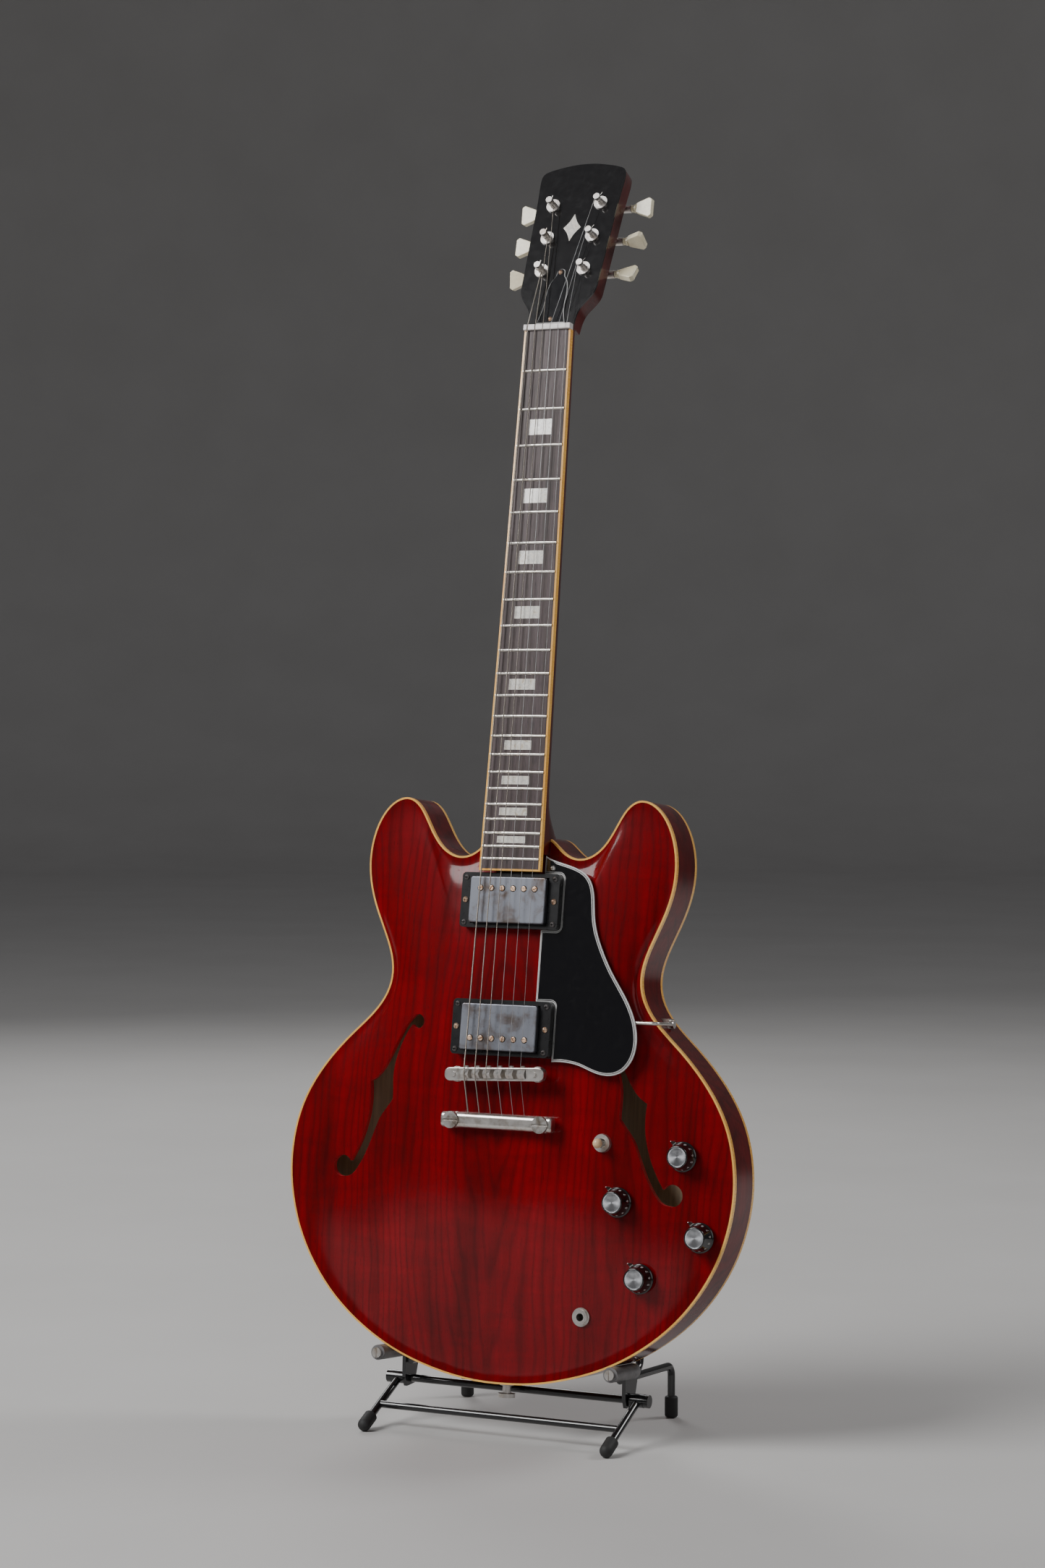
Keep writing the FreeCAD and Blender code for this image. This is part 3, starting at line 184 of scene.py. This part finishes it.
def raw_wood(name, light, dark, rough=0.7):
    """Bare flat-sawn wood, along the guitar."""
    g = Graph(name, Specular_IOR_Level=0.25)
    lines = g.noise(g.place(GUITAR, (1, 0.03, 1)), 380.0, 5.0, 0.65)
    bands = g.noise(g.place(GUITAR, (1, 0.08, 1)), 40.0, 3.0, 0.5, 0.5)
    colour = g.mix(bands, dark, light)
    colour = g.mix(0.6, colour, g.ramp(lines, (0.3, 0.62), (0.7, 1.15)), "MULTIPLY")
    return g.finish(colour, g.ramp(lines, (0.3, rough + 0.1), (0.7, rough)), lines, 0.00012, 0.5)


def neck_wood():
    """Red-stained straight-grained mahogany with open pores under gloss."""
    g = Graph("mahogany", Coat_Weight=0.9, Coat_Roughness=0.06, Specular_IOR_Level=0.25)
    lines = g.noise(g.place(NECK, (1, 0.02, 1)), 600.0, 5.0, 0.7)
    pores = g.noise(g.place(NECK, (1, 0.05, 1)), 1700.0, 2.0, 0.5)
    bands = g.noise(g.place(NECK, (1, 0.06, 1)), 70.0, 3.0, 0.5, 0.4)
    colour = g.ramp(bands, (0.25, (0.045, 0.0025, 0.0020)), (0.75, (0.105, 0.0060, 0.0040)))
    colour = g.mix(0.55, colour, g.ramp(lines, (0.3, 0.55), (0.7, 1.2)), "MULTIPLY")
    colour = g.mix(0.7, colour, g.ramp(pores, (0.32, 0.30), (0.44, 1.0)), "MULTIPLY")
    return g.finish(colour, g.ramp(pores, (0.3, 0.50), (0.5, 0.33)), pores, 0.00004, 0.25)


def board_wood():
    """Dark oiled rosewood with violet-grey streaks and long pores."""
    g = Graph("rosewood", Specular_IOR_Level=0.45)
    streaks = g.noise(g.place(NECK, (1, 0.035, 1)), 210.0, 4.0, 0.6, 0.6)
    fine = g.noise(g.place(NECK, (1, 0.02, 1)), 1100.0, 4.0, 0.7)
    pores = g.noise(g.place(NECK, (1, 0.045, 1)), 2100.0, 2.0, 0.5)
    colour = g.ramp(streaks, (0.28, (0.020, 0.010, 0.009)), (0.46, (0.050, 0.028, 0.026)),
                    (0.60, (0.085, 0.056, 0.060)), (0.76, (0.034, 0.018, 0.016)))
    colour = g.mix(0.6, colour, g.ramp(fine, (0.3, 0.55), (0.7, 1.35)), "MULTIPLY")
    colour = g.mix(0.8, colour, g.ramp(pores, (0.34, 0.20), (0.44, 1.0)), "MULTIPLY")
    return g.finish(colour, g.ramp(fine, (0.3, 0.58), (0.7, 0.40)), pores, 0.00008, 0.5)


def celluloid(name, pale, deep, rough):
    """Aged cream plastic that is more amber in places, with faint wear scratches."""
    g = Graph(name, Coat_Weight=0.5, Coat_Roughness=0.08)
    age = g.noise(g.place(), 22.0, 4.0, 0.6)
    grain = g.noise(g.place(None, (1, 0.3, 1)), 420.0, 4.0, 0.6)
    colour = g.mix(g.ramp(age, (0.32, 0.0), (0.68, 1.0)), pale, deep)
    colour = g.mix(0.35, colour, g.ramp(grain, (0.3, 0.72), (0.7, 1.1)), "MULTIPLY")
    return g.finish(colour, g.ramp(grain, (0.3, rough + 0.12), (0.7, rough)), grain, 0.00002, 0.2)


def pearl_shell():
    """Moulded pearl with folded pale and tan bands."""
    g = Graph("pearl", Coat_Weight=0.8, Coat_Roughness=0.05)
    fold = g.noise(g.place(NECK, (1, 0.8, 1)), 85.0, 3.0, 0.5, 3.2)
    shine = g.noise(g.place(NECK, (0.5, 1, 1)), 260.0, 3.0, 0.6, 1.5)
    colour = g.ramp(fold, (0.30, (0.58, 0.50, 0.40)), (0.42, (0.86, 0.82, 0.74)),
                    (0.52, (0.66, 0.64, 0.60)), (0.62, (0.92, 0.90, 0.84)),
                    (0.75, (0.70, 0.62, 0.50)))
    colour = g.mix(0.4, colour, g.ramp(shine, (0.3, 0.75), (0.7, 1.12)), "MULTIPLY")
    return g.finish(colour, g.ramp(shine, (0.3, 0.30), (0.7, 0.16)))


def aged_metal(name, bright, warm, dark, rough, cloud=95.0):
    """Plated metal with warm tarnish clouds and fine rub marks."""
    g = Graph(name, Metallic=1.0)
    haze = g.noise(g.place(), cloud, 5.0, 0.62, 0.4)
    spots = g.noise(g.place(), cloud * 6, 4.0, 0.7)
    rub = g.noise(g.place(None, (1, 0.12, 0.12)), 1500.0, 3.0, 0.6)
    colour = g.ramp(haze, (0.30, warm), (0.50, bright), (0.72, bright))
    colour = g.mix(g.ramp(spots, (0.60, 0.0), (0.74, 0.55)), colour, dark)
    tone = g.maths("MULTIPLY_ADD", haze, 0.30, rough - 0.12)
    tone = g.maths("MULTIPLY_ADD", rub, 0.12, tone)
    return g.finish(colour, tone, rub, 0.00001, 0.25)


def wound_string():
    """Bright wrap wire seen as fine turns along the string, with painted shade in the grooves
    between turns.
    """
    g = Graph("wound_string", Metallic=1.0)
    _, y, _ = g.split(g.place(NECK))
    turns = g.maths("SINE", g.maths("MULTIPLY", y, 2 * math.pi / 0.00042))
    wave = g.maths("MULTIPLY_ADD", turns, 0.5, 0.5)
    dirt = g.noise(g.place(NECK, (1, 0.3, 1)), 90.0, 3.0)
    # the dark end of this ramp is painted shade in the grooves between the wrap turns
    colour = g.ramp(wave, (0.0, (0.16, 0.13, 0.11)), (0.6, (0.66, 0.61, 0.54)))
    colour = g.mix(0.35, colour, g.ramp(dirt, (0.3, 0.55), (0.7, 1.1)), "MULTIPLY")
    return g.finish(colour, g.ramp(dirt, (0.3, 0.42), (0.7, 0.28)), wave, 0.00010, 0.9)


def dark_finish(name, colour, rough, coat=0.0, ripple=0.00002, scale=700.0, **more):
    """Near-black plastic, paint or rubber with dust, soft wear and a fine surface."""
    g = Graph(name, Coat_Weight=coat, Coat_Roughness=0.06, **more)
    dust = g.noise(g.place(), 180.0, 5.0, 0.65)
    skin = g.noise(g.place(), scale, 3.0, 0.6)
    tone = g.mix(g.ramp(dust, (0.55, 0.0), (0.85, 0.04)), colour, (0.10, 0.10, 0.10))
    return g.finish(tone, g.ramp(dust, (0.3, rough), (0.75, rough + 0.06)), skin, ripple, 0.35)


def knob_insert():
    """Spun metal disc: fine rings about the knob's own axis."""
    g = Graph("knob_insert", Metallic=1.0, Anisotropic=0.75)
    x, y, _ = g.split(g.place())
    radius = g.maths("SQRT", g.maths("ADD", g.maths("MULTIPLY", x, x), g.maths("MULTIPLY", y, y)))
    rings = g.noise(g.put("ShaderNodeCombineXYZ", {"X": radius}).outputs[0], 5200.0, 3.0, 0.6)
    haze = g.noise(g.place(), 260.0, 4.0, 0.6)
    colour = g.ramp(haze, (0.3, (0.52, 0.54, 0.58)), (0.7, (0.78, 0.79, 0.82)))
    colour = g.mix(0.4, colour, g.ramp(rings, (0.3, 0.6), (0.7, 1.1)), "MULTIPLY")
    g.feed(g.shader, {"Tangent": g.put(
        "ShaderNodeTangent", direction_type="RADIAL", axis="Z").outputs[0]})
    return g.finish(colour, g.ramp(rings, (0.3, 0.36), (0.7, 0.24)), rings, 0.00001, 0.4)


def sleeve_vinyl():
    """Cloudy translucent vinyl tube."""
    g = Graph("clear_sleeve", Transmission_Weight=0.35, IOR=1.5, Specular_IOR_Level=0.5)
    haze = g.noise(g.place(), 120.0, 4.0, 0.6)
    scuff = g.noise(g.place(), 900.0, 3.0, 0.6)
    colour = g.ramp(haze, (0.3, (0.20, 0.19, 0.20)), (0.7, (0.34, 0.33, 0.33)))
    return g.finish(colour, g.ramp(scuff, (0.3, 0.42), (0.7, 0.26)), scuff, 0.00003, 0.3)


MATERIALS = {
    "cherry_maple": cherry("cherry_maple", CHERRY_DARK, CHERRY_LIGHT),
    # rim_maple is the top's cherry copied darker for the outer sides: painted shade on the sides
    "rim_maple": cherry("rim_maple", (0.060, 0.0012, 0.0014), (0.150, 0.0030, 0.0030)),
    "cut_edge": raw_wood("cut_edge", (0.60, 0.030, 0.040), (0.36, 0.012, 0.018), 0.5),
    # inside_wood is the bare maple's tone made paler: painted light for the light that falls in
    # through the sound holes
    "inside_wood": raw_wood("inside_wood", (0.86, 0.70, 0.50), (0.70, 0.52, 0.34)),
    "block_maple": raw_wood("block_maple", (0.40, 0.25, 0.13), (0.24, 0.14, 0.07)),
    "binding": celluloid("binding", (1.0, 0.58, 0.14), (0.92, 0.44, 0.08), 0.22),
    "mahogany": neck_wood(),
    "black_gloss": dark_finish("black_gloss", (0.006, 0.0055, 0.006), 0.12, 1.0),
    "rosewood": board_wood(),
    "pearl": pearl_shell(),
    "nickel_silver": aged_metal("nickel_silver", (0.74, 0.71, 0.66), (0.60, 0.54, 0.46),
                                (0.30, 0.26, 0.22), 0.24),
    "bone": celluloid("bone", (0.74, 0.71, 0.70), (0.60, 0.56, 0.54), 0.35),
    "steel": aged_metal("steel", (0.50, 0.50, 0.51), (0.42, 0.40, 0.38), (0.2, 0.19, 0.18), 0.34),
    "wound_string": wound_string(),
    "nickel": aged_metal("nickel", (0.70, 0.67, 0.64), (0.52, 0.44, 0.36),
                         (0.24, 0.19, 0.15), 0.24),
    "pickup_nickel": aged_metal("pickup_nickel", (0.20, 0.21, 0.24), (0.13, 0.10, 0.085),
                                (0.07, 0.055, 0.05), 0.32, 62.0),
    "copper_screw": aged_metal("copper_screw", (0.72, 0.52, 0.38), (0.50, 0.32, 0.22),
                               (0.18, 0.11, 0.08), 0.28, 240.0),
    "dark_screw": aged_metal("dark_screw", (0.16, 0.15, 0.15), (0.11, 0.09, 0.08),
                             (0.04, 0.03, 0.03), 0.34, 240.0),
    "black_plastic": dark_finish("black_plastic", (0.008, 0.008, 0.009), 0.26, 0.3),
    "guard_black": dark_finish("guard_black", (0.0045, 0.0045, 0.006), 0.10, 1.0),
    "white_layer": celluloid("white_layer", (0.78, 0.78, 0.78), (0.66, 0.66, 0.65), 0.3),
    "knob_black": dark_finish("knob_black", (0.006, 0.006, 0.006), 0.10, 0.8),
    "knob_insert": knob_insert(),
    "ivory_plastic": celluloid("ivory_plastic", (0.86, 0.80, 0.60), (0.74, 0.64, 0.42), 0.28),
    "amber_tip": celluloid("amber_tip", (0.84, 0.62, 0.38), (0.66, 0.42, 0.22), 0.25),
    "black_enamel": dark_finish("black_enamel", (0.008, 0.008, 0.009), 0.20, 0.6, 0.00006, 420.0),
    "clear_sleeve": sleeve_vinyl(),
    "rubber": dark_finish("rubber", (0.020, 0.020, 0.020), 0.62, 0.0, 0.00008, 1400.0),
}
SLOT_OF = {s["node"]: s["material_slot"] for s in frame["record"]["subparts"]}


def islands(mesh):
    """Number the separate closed pieces of a mesh whose corners may be split."""
    root = {}

    def find(key):
        while root.setdefault(key, key) != key:
            root[key] = root[root[key]]
            key = root[key]
        return key

    spot = [tuple(round(c * 1e6) for c in v.co) for v in mesh.vertices]
    for poly in mesh.polygons:
        first = find(spot[poly.vertices[0]])
        for index in poly.vertices[1:]:
            root[find(spot[index])] = first
    return [find(spot[poly.vertices[0]]) for poly in mesh.polygons]


def island_middles(mesh, back):
    """Middle of the box of each polygon's own closed piece, in the frame back leads to."""
    owner = islands(mesh)
    corners = {}
    for poly, key in zip(mesh.polygons, owner):
        corners.setdefault(key, []).extend(back @ mesh.vertices[i].co for i in poly.vertices)
    middle = {}
    for key, points in corners.items():
        low = Vector([min(p[k] for p in points) for k in range(3)])
        high = Vector([max(p[k] for p in points) for k in range(3)])
        middle[key] = (low + high) / 2
    return [middle[key] for key in owner]


def paint(name, where=None, choose=None, by_island=False):
    """Give a CAD node its slot's material, or the ones that choose(place, normal) names."""
    mesh = NODES[name].data
    mesh.materials.clear()
    if choose is None:
        mesh.materials.append(MATERIALS[SLOT_OF[name]])
        return
    back = where.inverted()
    places = [back @ poly.center for poly in mesh.polygons]
    if by_island:
        places = island_middles(mesh, back)
    used = []
    for poly, place in zip(mesh.polygons, places):
        label = choose(place, back.to_3x3() @ poly.normal)
        if label not in used:
            used.append(label)
            mesh.materials.append(MATERIALS[label])
        poly.material_index = used.index(label)


def extent(name, where):
    """Lowest and highest corner of a node in a frame."""
    back = where.inverted()
    points = [back @ v.co for v in NODES[name].data.vertices]
    return (Vector([min(p[k] for p in points) for k in range(3)]),
            Vector([max(p[k] for p in points) for k in range(3)]))


# ---- which faces of the CAD nodes get which material ----
def top_face(place, normal):
    if normal.z > 0.3:
        return "cherry_maple"
    return "inside_wood" if normal.z < -0.3 else "cut_edge"


def back_face(place, normal):
    return "cherry_maple" if normal.z < -0.3 else "inside_wood"


def edge_finder():
    """Search tree of the binding pressed flat, which marks the outer face of the rim."""
    mesh = NODES["body_binding"].data
    back = GUITAR.inverted()
    corners = [back @ v.co for v in mesh.vertices]
    flat = [(p.x, p.y, 0.0) for p in corners]
    caps = [list(f.vertices) for f in mesh.polygons
            if abs((back.to_3x3() @ f.normal).z) > 0.9]
    return BVHTree.FromPolygons(flat, caps)


def rim_face(place, normal):
    gap = BINDING_TREE.find_nearest(Vector((place.x, place.y, 0.0)))[3]
    return "rim_maple" if gap < 0.002 else "inside_wood"


def pickup_screw_face(place, normal):
    corner = abs(place.x) > 0.036 and abs(abs(place.y - ring_middle(place.y)) - 0.0188) < 0.004
    return "dark_screw" if corner else "copper_screw"


def ring_middle(y):
    """Middle along the neck frame of the pickup ring nearest to y."""
    return min(RING_MIDDLES, key=lambda middle: abs(middle - y))


def string_face(place, normal):
    return "wound_string" if place.x < 0 else "steel"


def toggle_face(place, normal):
    return "amber_tip" if place.z > TIP_FOOT else "nickel"


def button_face(place, normal):
    return "ivory_plastic" if abs(place.x) > 0.0405 else "nickel"


BINDING_TREE = edge_finder()
low, high = extent("pickup_rings", NECK)
RING_HALF = 0.023
TIP_FOOT = extent("toggle_lever", GUITAR)[1].z - 0.0092
RING_MIDDLES = (low.y + RING_HALF, high.y - RING_HALF)
RULES = {
    "body_top": (GUITAR, top_face), "body_back": (GUITAR, back_face),
    "body_rim": (GUITAR, rim_face), "pickup_screws": (NECK, pickup_screw_face, True),
    "strings": (NECK, string_face, True), "toggle_lever": (GUITAR, toggle_face),
    "pickup_covers": (NECK, lambda place, normal: "pickup_nickel"),
}
for name in NODES:
    if name.startswith("tuner_button"):
        RULES[name] = (HEAD, button_face)
    paint(name, *RULES.get(name, ()))


# ---- fine pieces ----
def add_piece(name, mesh, body, labels, replaced=()):
    piece = bpy.data.objects.new(name, mesh)
    bpy.context.scene.collection.objects.link(piece)
    for label in labels:
        mesh.materials.append(MATERIALS[label])
    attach(piece, body)
    if replaced:
        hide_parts(*replaced)
    return piece


def rim_loop(bm):
    """The longest closed run of open edges of a flat patch, in order."""
    left = {e for e in bm.edges if len(e.link_faces) == 1}
    best = []
    while left:
        edge = left.pop()
        run = [edge.verts[0], edge.verts[1]]
        while run[-1] is not run[0]:
            edge = next(e for e in run[-1].link_edges if e in left)
            left.discard(edge)
            run.append(edge.other_vert(run[-1]))
        if len(run) > len(best):
            best = run[:-1]
    kept = []
    for v in best:
        if not kept or (v.co - kept[-1]).length > OUTLINE_STEP:
            kept.append(v.co.copy())
    return kept


def untangle(loop):
    """Pull short crossed runs of a closed loop together at their crossing."""
    count = len(loop)
    for i in range(count):
        for step in range(2, LONGEST_TANGLE):
            run = [loop[(i + k) % count] for k in range(step + 2)]
            hit = intersect_line_line_2d(run[0].co.xy, run[1].co.xy,
                                         run[-2].co.xy, run[-1].co.xy)
            if hit is not None:
                for v in run[1:-1]:
                    v.co.xy = hit


def plate_outline(name, back, level):
    """Outer edge of the flat top at a level of a CAD plate, in the frame back leads to."""
    patch = bmesh.new()
    patch.from_mesh(NODES[name].data)
    patch.transform(back)
    bmesh.ops.remove_doubles(patch, verts=patch.verts, dist=2e-6)
    drop = [f for f in patch.faces if f.normal.z <= 0.999
            or abs(f.calc_center_median().z - level) >= 5e-5]
    bmesh.ops.delete(patch, geom=drop, context="FACES")
    outline = rim_loop(patch)
    patch.free()
    return outline


def layered_plate(name, where, floor, layers, labels, pins=()):
    """Laminated plate in place of a CAD node: bevelled layers round its flat top."""
    back = where.inverted()
    outline = plate_outline(name, back, layers[-1][1])
    bm = bmesh.new()
    ring = [bm.verts.new((p.x, p.y, layers[0][1])) for p in outline]
    face = bm.faces.new(ring)
    face.normal_update()
    if face.normal.z < 0:
        face.normal_flip()
    wall = bmesh.ops.extrude_edge_only(bm, edges=list(face.edges))["geom"]
    for v in wall:
        if isinstance(v, bmesh.types.BMVert):
            v.co.z = floor
    for f in bm.faces:
        f.material_index = layers[0][2]
    bottom = [e for e in wall if isinstance(e, bmesh.types.BMEdge)
              and all(abs(v.co.z - floor) < 1e-7 for v in e.verts)]
    bmesh.ops.contextual_create(bm, geom=bottom)
    loops = []
    for width, height, tone in layers[1:]:
        band = bmesh.ops.inset_region(bm, faces=[face], thickness=width, depth=0.0,
                                      use_even_offset=True, use_boundary=True)["faces"]
        for f in band:
            f.material_index = tone
        for v in face.verts:
            v.co.z = height
        loops.append(list(face.verts))
        face.material_index = tone
    for loop in loops:
        untangle(loop)
    bmesh.ops.dissolve_degenerate(bm, edges=bm.edges, dist=1e-7)
    bmesh.ops.recalc_face_normals(bm, faces=bm.faces)
    for poly in NODES[name].data.polygons:
        corners = [back @ NODES[name].data.vertices[i].co for i in poly.vertices]
        if any(all(math.hypot(p.x, p.y - y) < PIN_RADIUS for p in corners) for y in pins):
            bm.faces.new([bm.verts.new(p) for p in corners]).material_index = len(labels) - 1
    mesh = bpy.data.meshes.new(name + "_plate")
    bm.transform(where)
    bm.to_mesh(mesh)
    bm.free()
    return add_piece(name + "_plate", mesh, "guitar", labels, (name,))


def make_plates():
    layered_plate("pickguard", NECK, -0.0132, (
        (0.0, -0.0124, 1), (0.0011, -0.0118, 1), (0.0004, -0.0115, 0), (0.0007, -0.0110, 1),
        (0.0002, -0.0108, 0)), ("guard_black", "white_layer"))
    layered_plate("truss_rod_cover", HEAD, 0.0, (
        (0.0, 0.0010, 0), (0.0007, 0.0017, 1), (0.0004, 0.0022, 0)),
        ("guard_black", "white_layer", "copper_screw"), COVER_PINS)


def lathe(bm, profile, steps=LATHE_STEPS):
    """Turn (radius, height, material) points about z; equal ends close on the axis."""
    rows = []
    for radius, height, _ in profile:
        if radius < 1e-9:
            rows.append([bm.verts.new((0, 0, height))])
            continue
        angles = [2 * math.pi * k / steps for k in range(steps)]
        rows.append([bm.verts.new((radius * math.cos(a), radius * math.sin(a), height))
                     for a in angles])
    for (one, two), (_, _, tone) in zip(zip(rows, rows[1:]), profile[1:]):
        for k in range(steps):
            j = (k + 1) % steps
            quad = [one[k % len(one)], one[j % len(one)], two[j % len(two)], two[k % len(two)]]
            corners = list(dict.fromkeys(quad))
            face = bm.faces.new(corners)
            face.material_index = tone
            face.smooth = True


def numeral(bm, text, where, tone):
    """Flat raised numeral set into a mesh at a place and facing."""
    curve = bpy.data.curves.new("numeral", "FONT")
    curve.body = text
    curve.size = NUMBER_SIZE
    curve.align_x = "CENTER"
    curve.align_y = "CENTER"
    curve.extrude = 0.00004
    holder = bpy.data.objects.new("numeral", curve)
    bpy.context.scene.collection.objects.link(holder)
    mesh = bpy.data.meshes.new_from_object(holder)
    mesh.transform(where)
    before = len(bm.faces)
    bm.from_mesh(mesh)
    bm.faces.ensure_lookup_table()
    for face in bm.faces[before:]:
        face.material_index = tone
    bpy.data.objects.remove(holder)
    bpy.data.meshes.remove(mesh)
    bpy.data.curves.remove(curve)


def make_knob(index):
    """Black knob with a flared skirt, a spun metal disc and numerals round its slope."""
    name = "knob_%d" % index
    low, high = extent(name, GUITAR)
    foot = high.z - 15.0 * MM
    profile = [(r * MM, z * MM, tone) for r, z, tone in (
        (0, -6, 0), (3, -6, 0), (3, 4.2, 0), (7.6, 4.2, 0), (7.6, 1.9, 0), (11.9, 1.9, 0),
        (12.3, 2.15, 0), (12.3, 3.25, 0), (12.1, 3.55, 0), (11.5, 3.7, 0), (11.2, 4.0, 0),
        (9.15, 13.9, 0), (8.95, 14.6, 0), (8.6, 14.92, 0), (8.25, 15.0, 0), (8.0, 14.9, 0),
        (7.9, 14.6, 0), (7.75, 14.55, 1), (7.4, 14.68, 1), (6.9, 14.70, 1), (4.6, 14.55, 1),
        (2.3, 14.45, 1), (0, 14.42, 1))]
    bm = bmesh.new()
    lathe(bm, profile)
    slope = math.atan2(11.2 - 9.15, 9.9)
    for number in range(11):
        turn = math.radians(POINTER_ANGLE + NUMBER_STEP * (number - 10) - 90.0)
        stand = (Matrix.Rotation(turn, 4, "Z")
                 @ Matrix.Translation((0, (11.2 - 0.207 * 2.9) * MM, 6.9 * MM))
                 @ Matrix.Rotation(math.radians(90.0) + slope, 4, "X")
                 @ Matrix.Rotation(math.pi, 4, "X") @ Matrix.Rotation(math.pi, 4, "Z"))
        numeral(bm, str(number), stand @ Matrix.Translation((0, 0, 0.00003)), 2)
    mesh = bpy.data.meshes.new(name + "_shell")
    bmesh.ops.recalc_face_normals(bm, faces=bm.faces)
    bm.to_mesh(mesh)
    bm.free()
    centre = (low + high) / 2
    piece = bpy.data.objects.new(name + "_shell", mesh)
    bpy.context.scene.collection.objects.link(piece)
    for label in ("knob_black", "knob_insert", "white_layer"):
        mesh.materials.append(MATERIALS[label])
    piece.matrix_world = GUITAR @ Matrix.Translation((centre.x, centre.y, foot))
    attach(piece, name)
    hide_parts(name)


def make_inlay():
    """Plain diamond with hollowed sides, let into the headstock."""
    half_w, half_h = INLAY_HALF
    outline = []
    tips = [(0, half_h), (half_w, 0), (0, -half_h), (-half_w, 0)]
    for (x0, y0), (x1, y1) in zip(tips, tips[1:] + tips[:1]):
        for step in range(8):
            t = step / 8
            dip = 1.0 - 0.55 * t * (1 - t)
            outline.append(((x0 + (x1 - x0) * t) * dip, (y0 + (y1 - y0) * t) * dip))
    bm = bmesh.new()
    rows = []
    for scale, z in ((1.0, -0.0004), (1.0, 0.00006), (0.95, 0.00012)):
        rows.append([bm.verts.new((x * scale, INLAY_CENTRE + y * scale, z)) for x, y in outline])
    for one, two in zip(rows, rows[1:]):
        for k in range(len(one)):
            j = (k + 1) % len(one)
            bm.faces.new((one[k], one[j], two[j], two[k]))
    bm.faces.new(rows[0])
    bm.faces.new(rows[-1])
    bmesh.ops.recalc_face_normals(bm, faces=bm.faces)
    bm.transform(HEAD)
    mesh = bpy.data.meshes.new("headstock_inlay")
    bm.to_mesh(mesh)
    bm.free()
    add_piece("headstock_inlay", mesh, "guitar", ("pearl",))


def make_pointer(index):
    """Bent-up tip of the metal pointer that shows beside a knob's skirt."""
    low, high = extent("knob_%d" % index, GUITAR)
    centre = (low + high) / 2
    foot = high.z - 15.0 * MM
    bm = bmesh.new()
    rows = []
    for reach, rise, half in ((11.6, 0.9, 1.9), (13.2, 1.2, 1.8), (14.2, 2.2, 1.5),
                              (14.9, 3.8, 1.0), (15.3, 5.2, 0.35)):
        rows.append([bm.verts.new(((reach + dr) * MM, side * half * MM, (rise + dz) * MM))
                     for side, dr, dz in ((-1, 0, 0), (1, 0, 0), (1, 0.5, -0.25),
                                          (-1, 0.5, -0.25))])
    for one, two in zip(rows, rows[1:]):
        for k in range(4):
            bm.faces.new((one[k], one[(k + 1) % 4], two[(k + 1) % 4], two[k]))
    bm.faces.new(rows[0])
    bm.faces.new(rows[-1])
    bmesh.ops.recalc_face_normals(bm, faces=bm.faces)
    bm.transform(GUITAR @ Matrix.Translation((centre.x, centre.y, foot))
                 @ Matrix.Rotation(math.radians(POINTER_ANGLE), 4, "Z"))
    mesh = bpy.data.meshes.new("pointer_tip_%d" % index)
    bm.to_mesh(mesh)
    bm.free()
    add_piece("pointer_tip_%d" % index, mesh, "guitar", ("nickel",))


make_plates()
for index in range(1, 5):
    make_knob(index)
    make_pointer(index)
make_inlay()


# ---- room: floor, light, camera ----
def studio():
    bm = bmesh.new()
    bend = [(SWEEP_FLAT + SWEEP_BEND * math.sin(a), SWEEP_BEND * (1 - math.cos(a)), 0)
            for a in (math.radians(6.0 * k) for k in range(16))]
    lathe(bm, [(0, 0, 0), (0.8, 0, 0)] + bend + [(SWEEP_FLAT + SWEEP_BEND, SWEEP_HEIGHT, 0)], 96)
    mesh = bpy.data.meshes.new("studio_floor")
    bmesh.ops.reverse_faces(bm, faces=bm.faces)
    bm.to_mesh(mesh)
    bm.free()
    floor = bpy.data.objects.new("studio_floor", mesh)
    bpy.context.scene.collection.objects.link(floor)
    floor.location.z = -0.0005
    g = Graph("studio_floor", Roughness=0.7, Specular_IOR_Level=0.2)
    floor.data.materials.append(g.finish(g.ramp(
        g.noise(g.place(), 3.0), (0.3, (0.50, 0.49, 0.48)), (0.7, (0.53, 0.52, 0.51)))))
    world = bpy.data.worlds.new("studio")
    bpy.context.scene.world = world
    world.use_nodes = True
    tree = world.node_tree
    place = tree.nodes.new("ShaderNodeTexCoord")
    parts = tree.nodes.new("ShaderNodeSeparateXYZ")
    band = tree.nodes.new("ShaderNodeValToRGB")
    band.color_ramp.elements[0].position = 0.02
    band.color_ramp.elements[0].color = (0.55, 0.545, 0.54, 1)
    band.color_ramp.elements[1].position = 0.55
    band.color_ramp.elements[1].color = (0.24, 0.24, 0.25, 1)
    tree.links.new(place.outputs["Generated"], parts.inputs[0])
    tree.links.new(parts.outputs[2], band.inputs[0])
    tree.links.new(band.outputs[0], tree.nodes["Background"].inputs[0])
    tree.nodes["Background"].inputs[1].default_value = 0.50
    for name, where, size, power in (
            ("key", (-1.6, -2.1, 2.5), 1.9, 112.0), ("fill", (2.2, -2.4, 1.5), 2.0, 8.0),
            ("rim", (1.7, 1.5, 2.1), 1.0, 26.0), ("back", (-1.8, 2.0, 1.9), 1.4, 26.0)):
        data = bpy.data.lights.new(name, "AREA")
        data.shape = "DISK"
        data.size = size
        data.energy = power
        lamp = bpy.data.objects.new(name, data)
        bpy.context.scene.collection.objects.link(lamp)
        lamp.location = where
        aim = Vector((0, 0, 0.45)) - lamp.location
        lamp.rotation_euler = aim.to_track_quat("-Z", "Y").to_euler()


def photo_camera():
    data = bpy.data.cameras.new("photo")
    data.sensor_width = 36.0
    data.lens = 76.4
    camera = bpy.data.objects.new("photo", data)
    bpy.context.scene.collection.objects.link(camera)
    camera.location = (1.2237, -2.5210, 0.6108)
    look = Vector((-0.44034, 0.89746, -0.02576))
    camera.rotation_euler = look.to_track_quat("-Z", "Y").to_euler()
    bpy.context.scene.camera = camera


studio()
photo_camera()
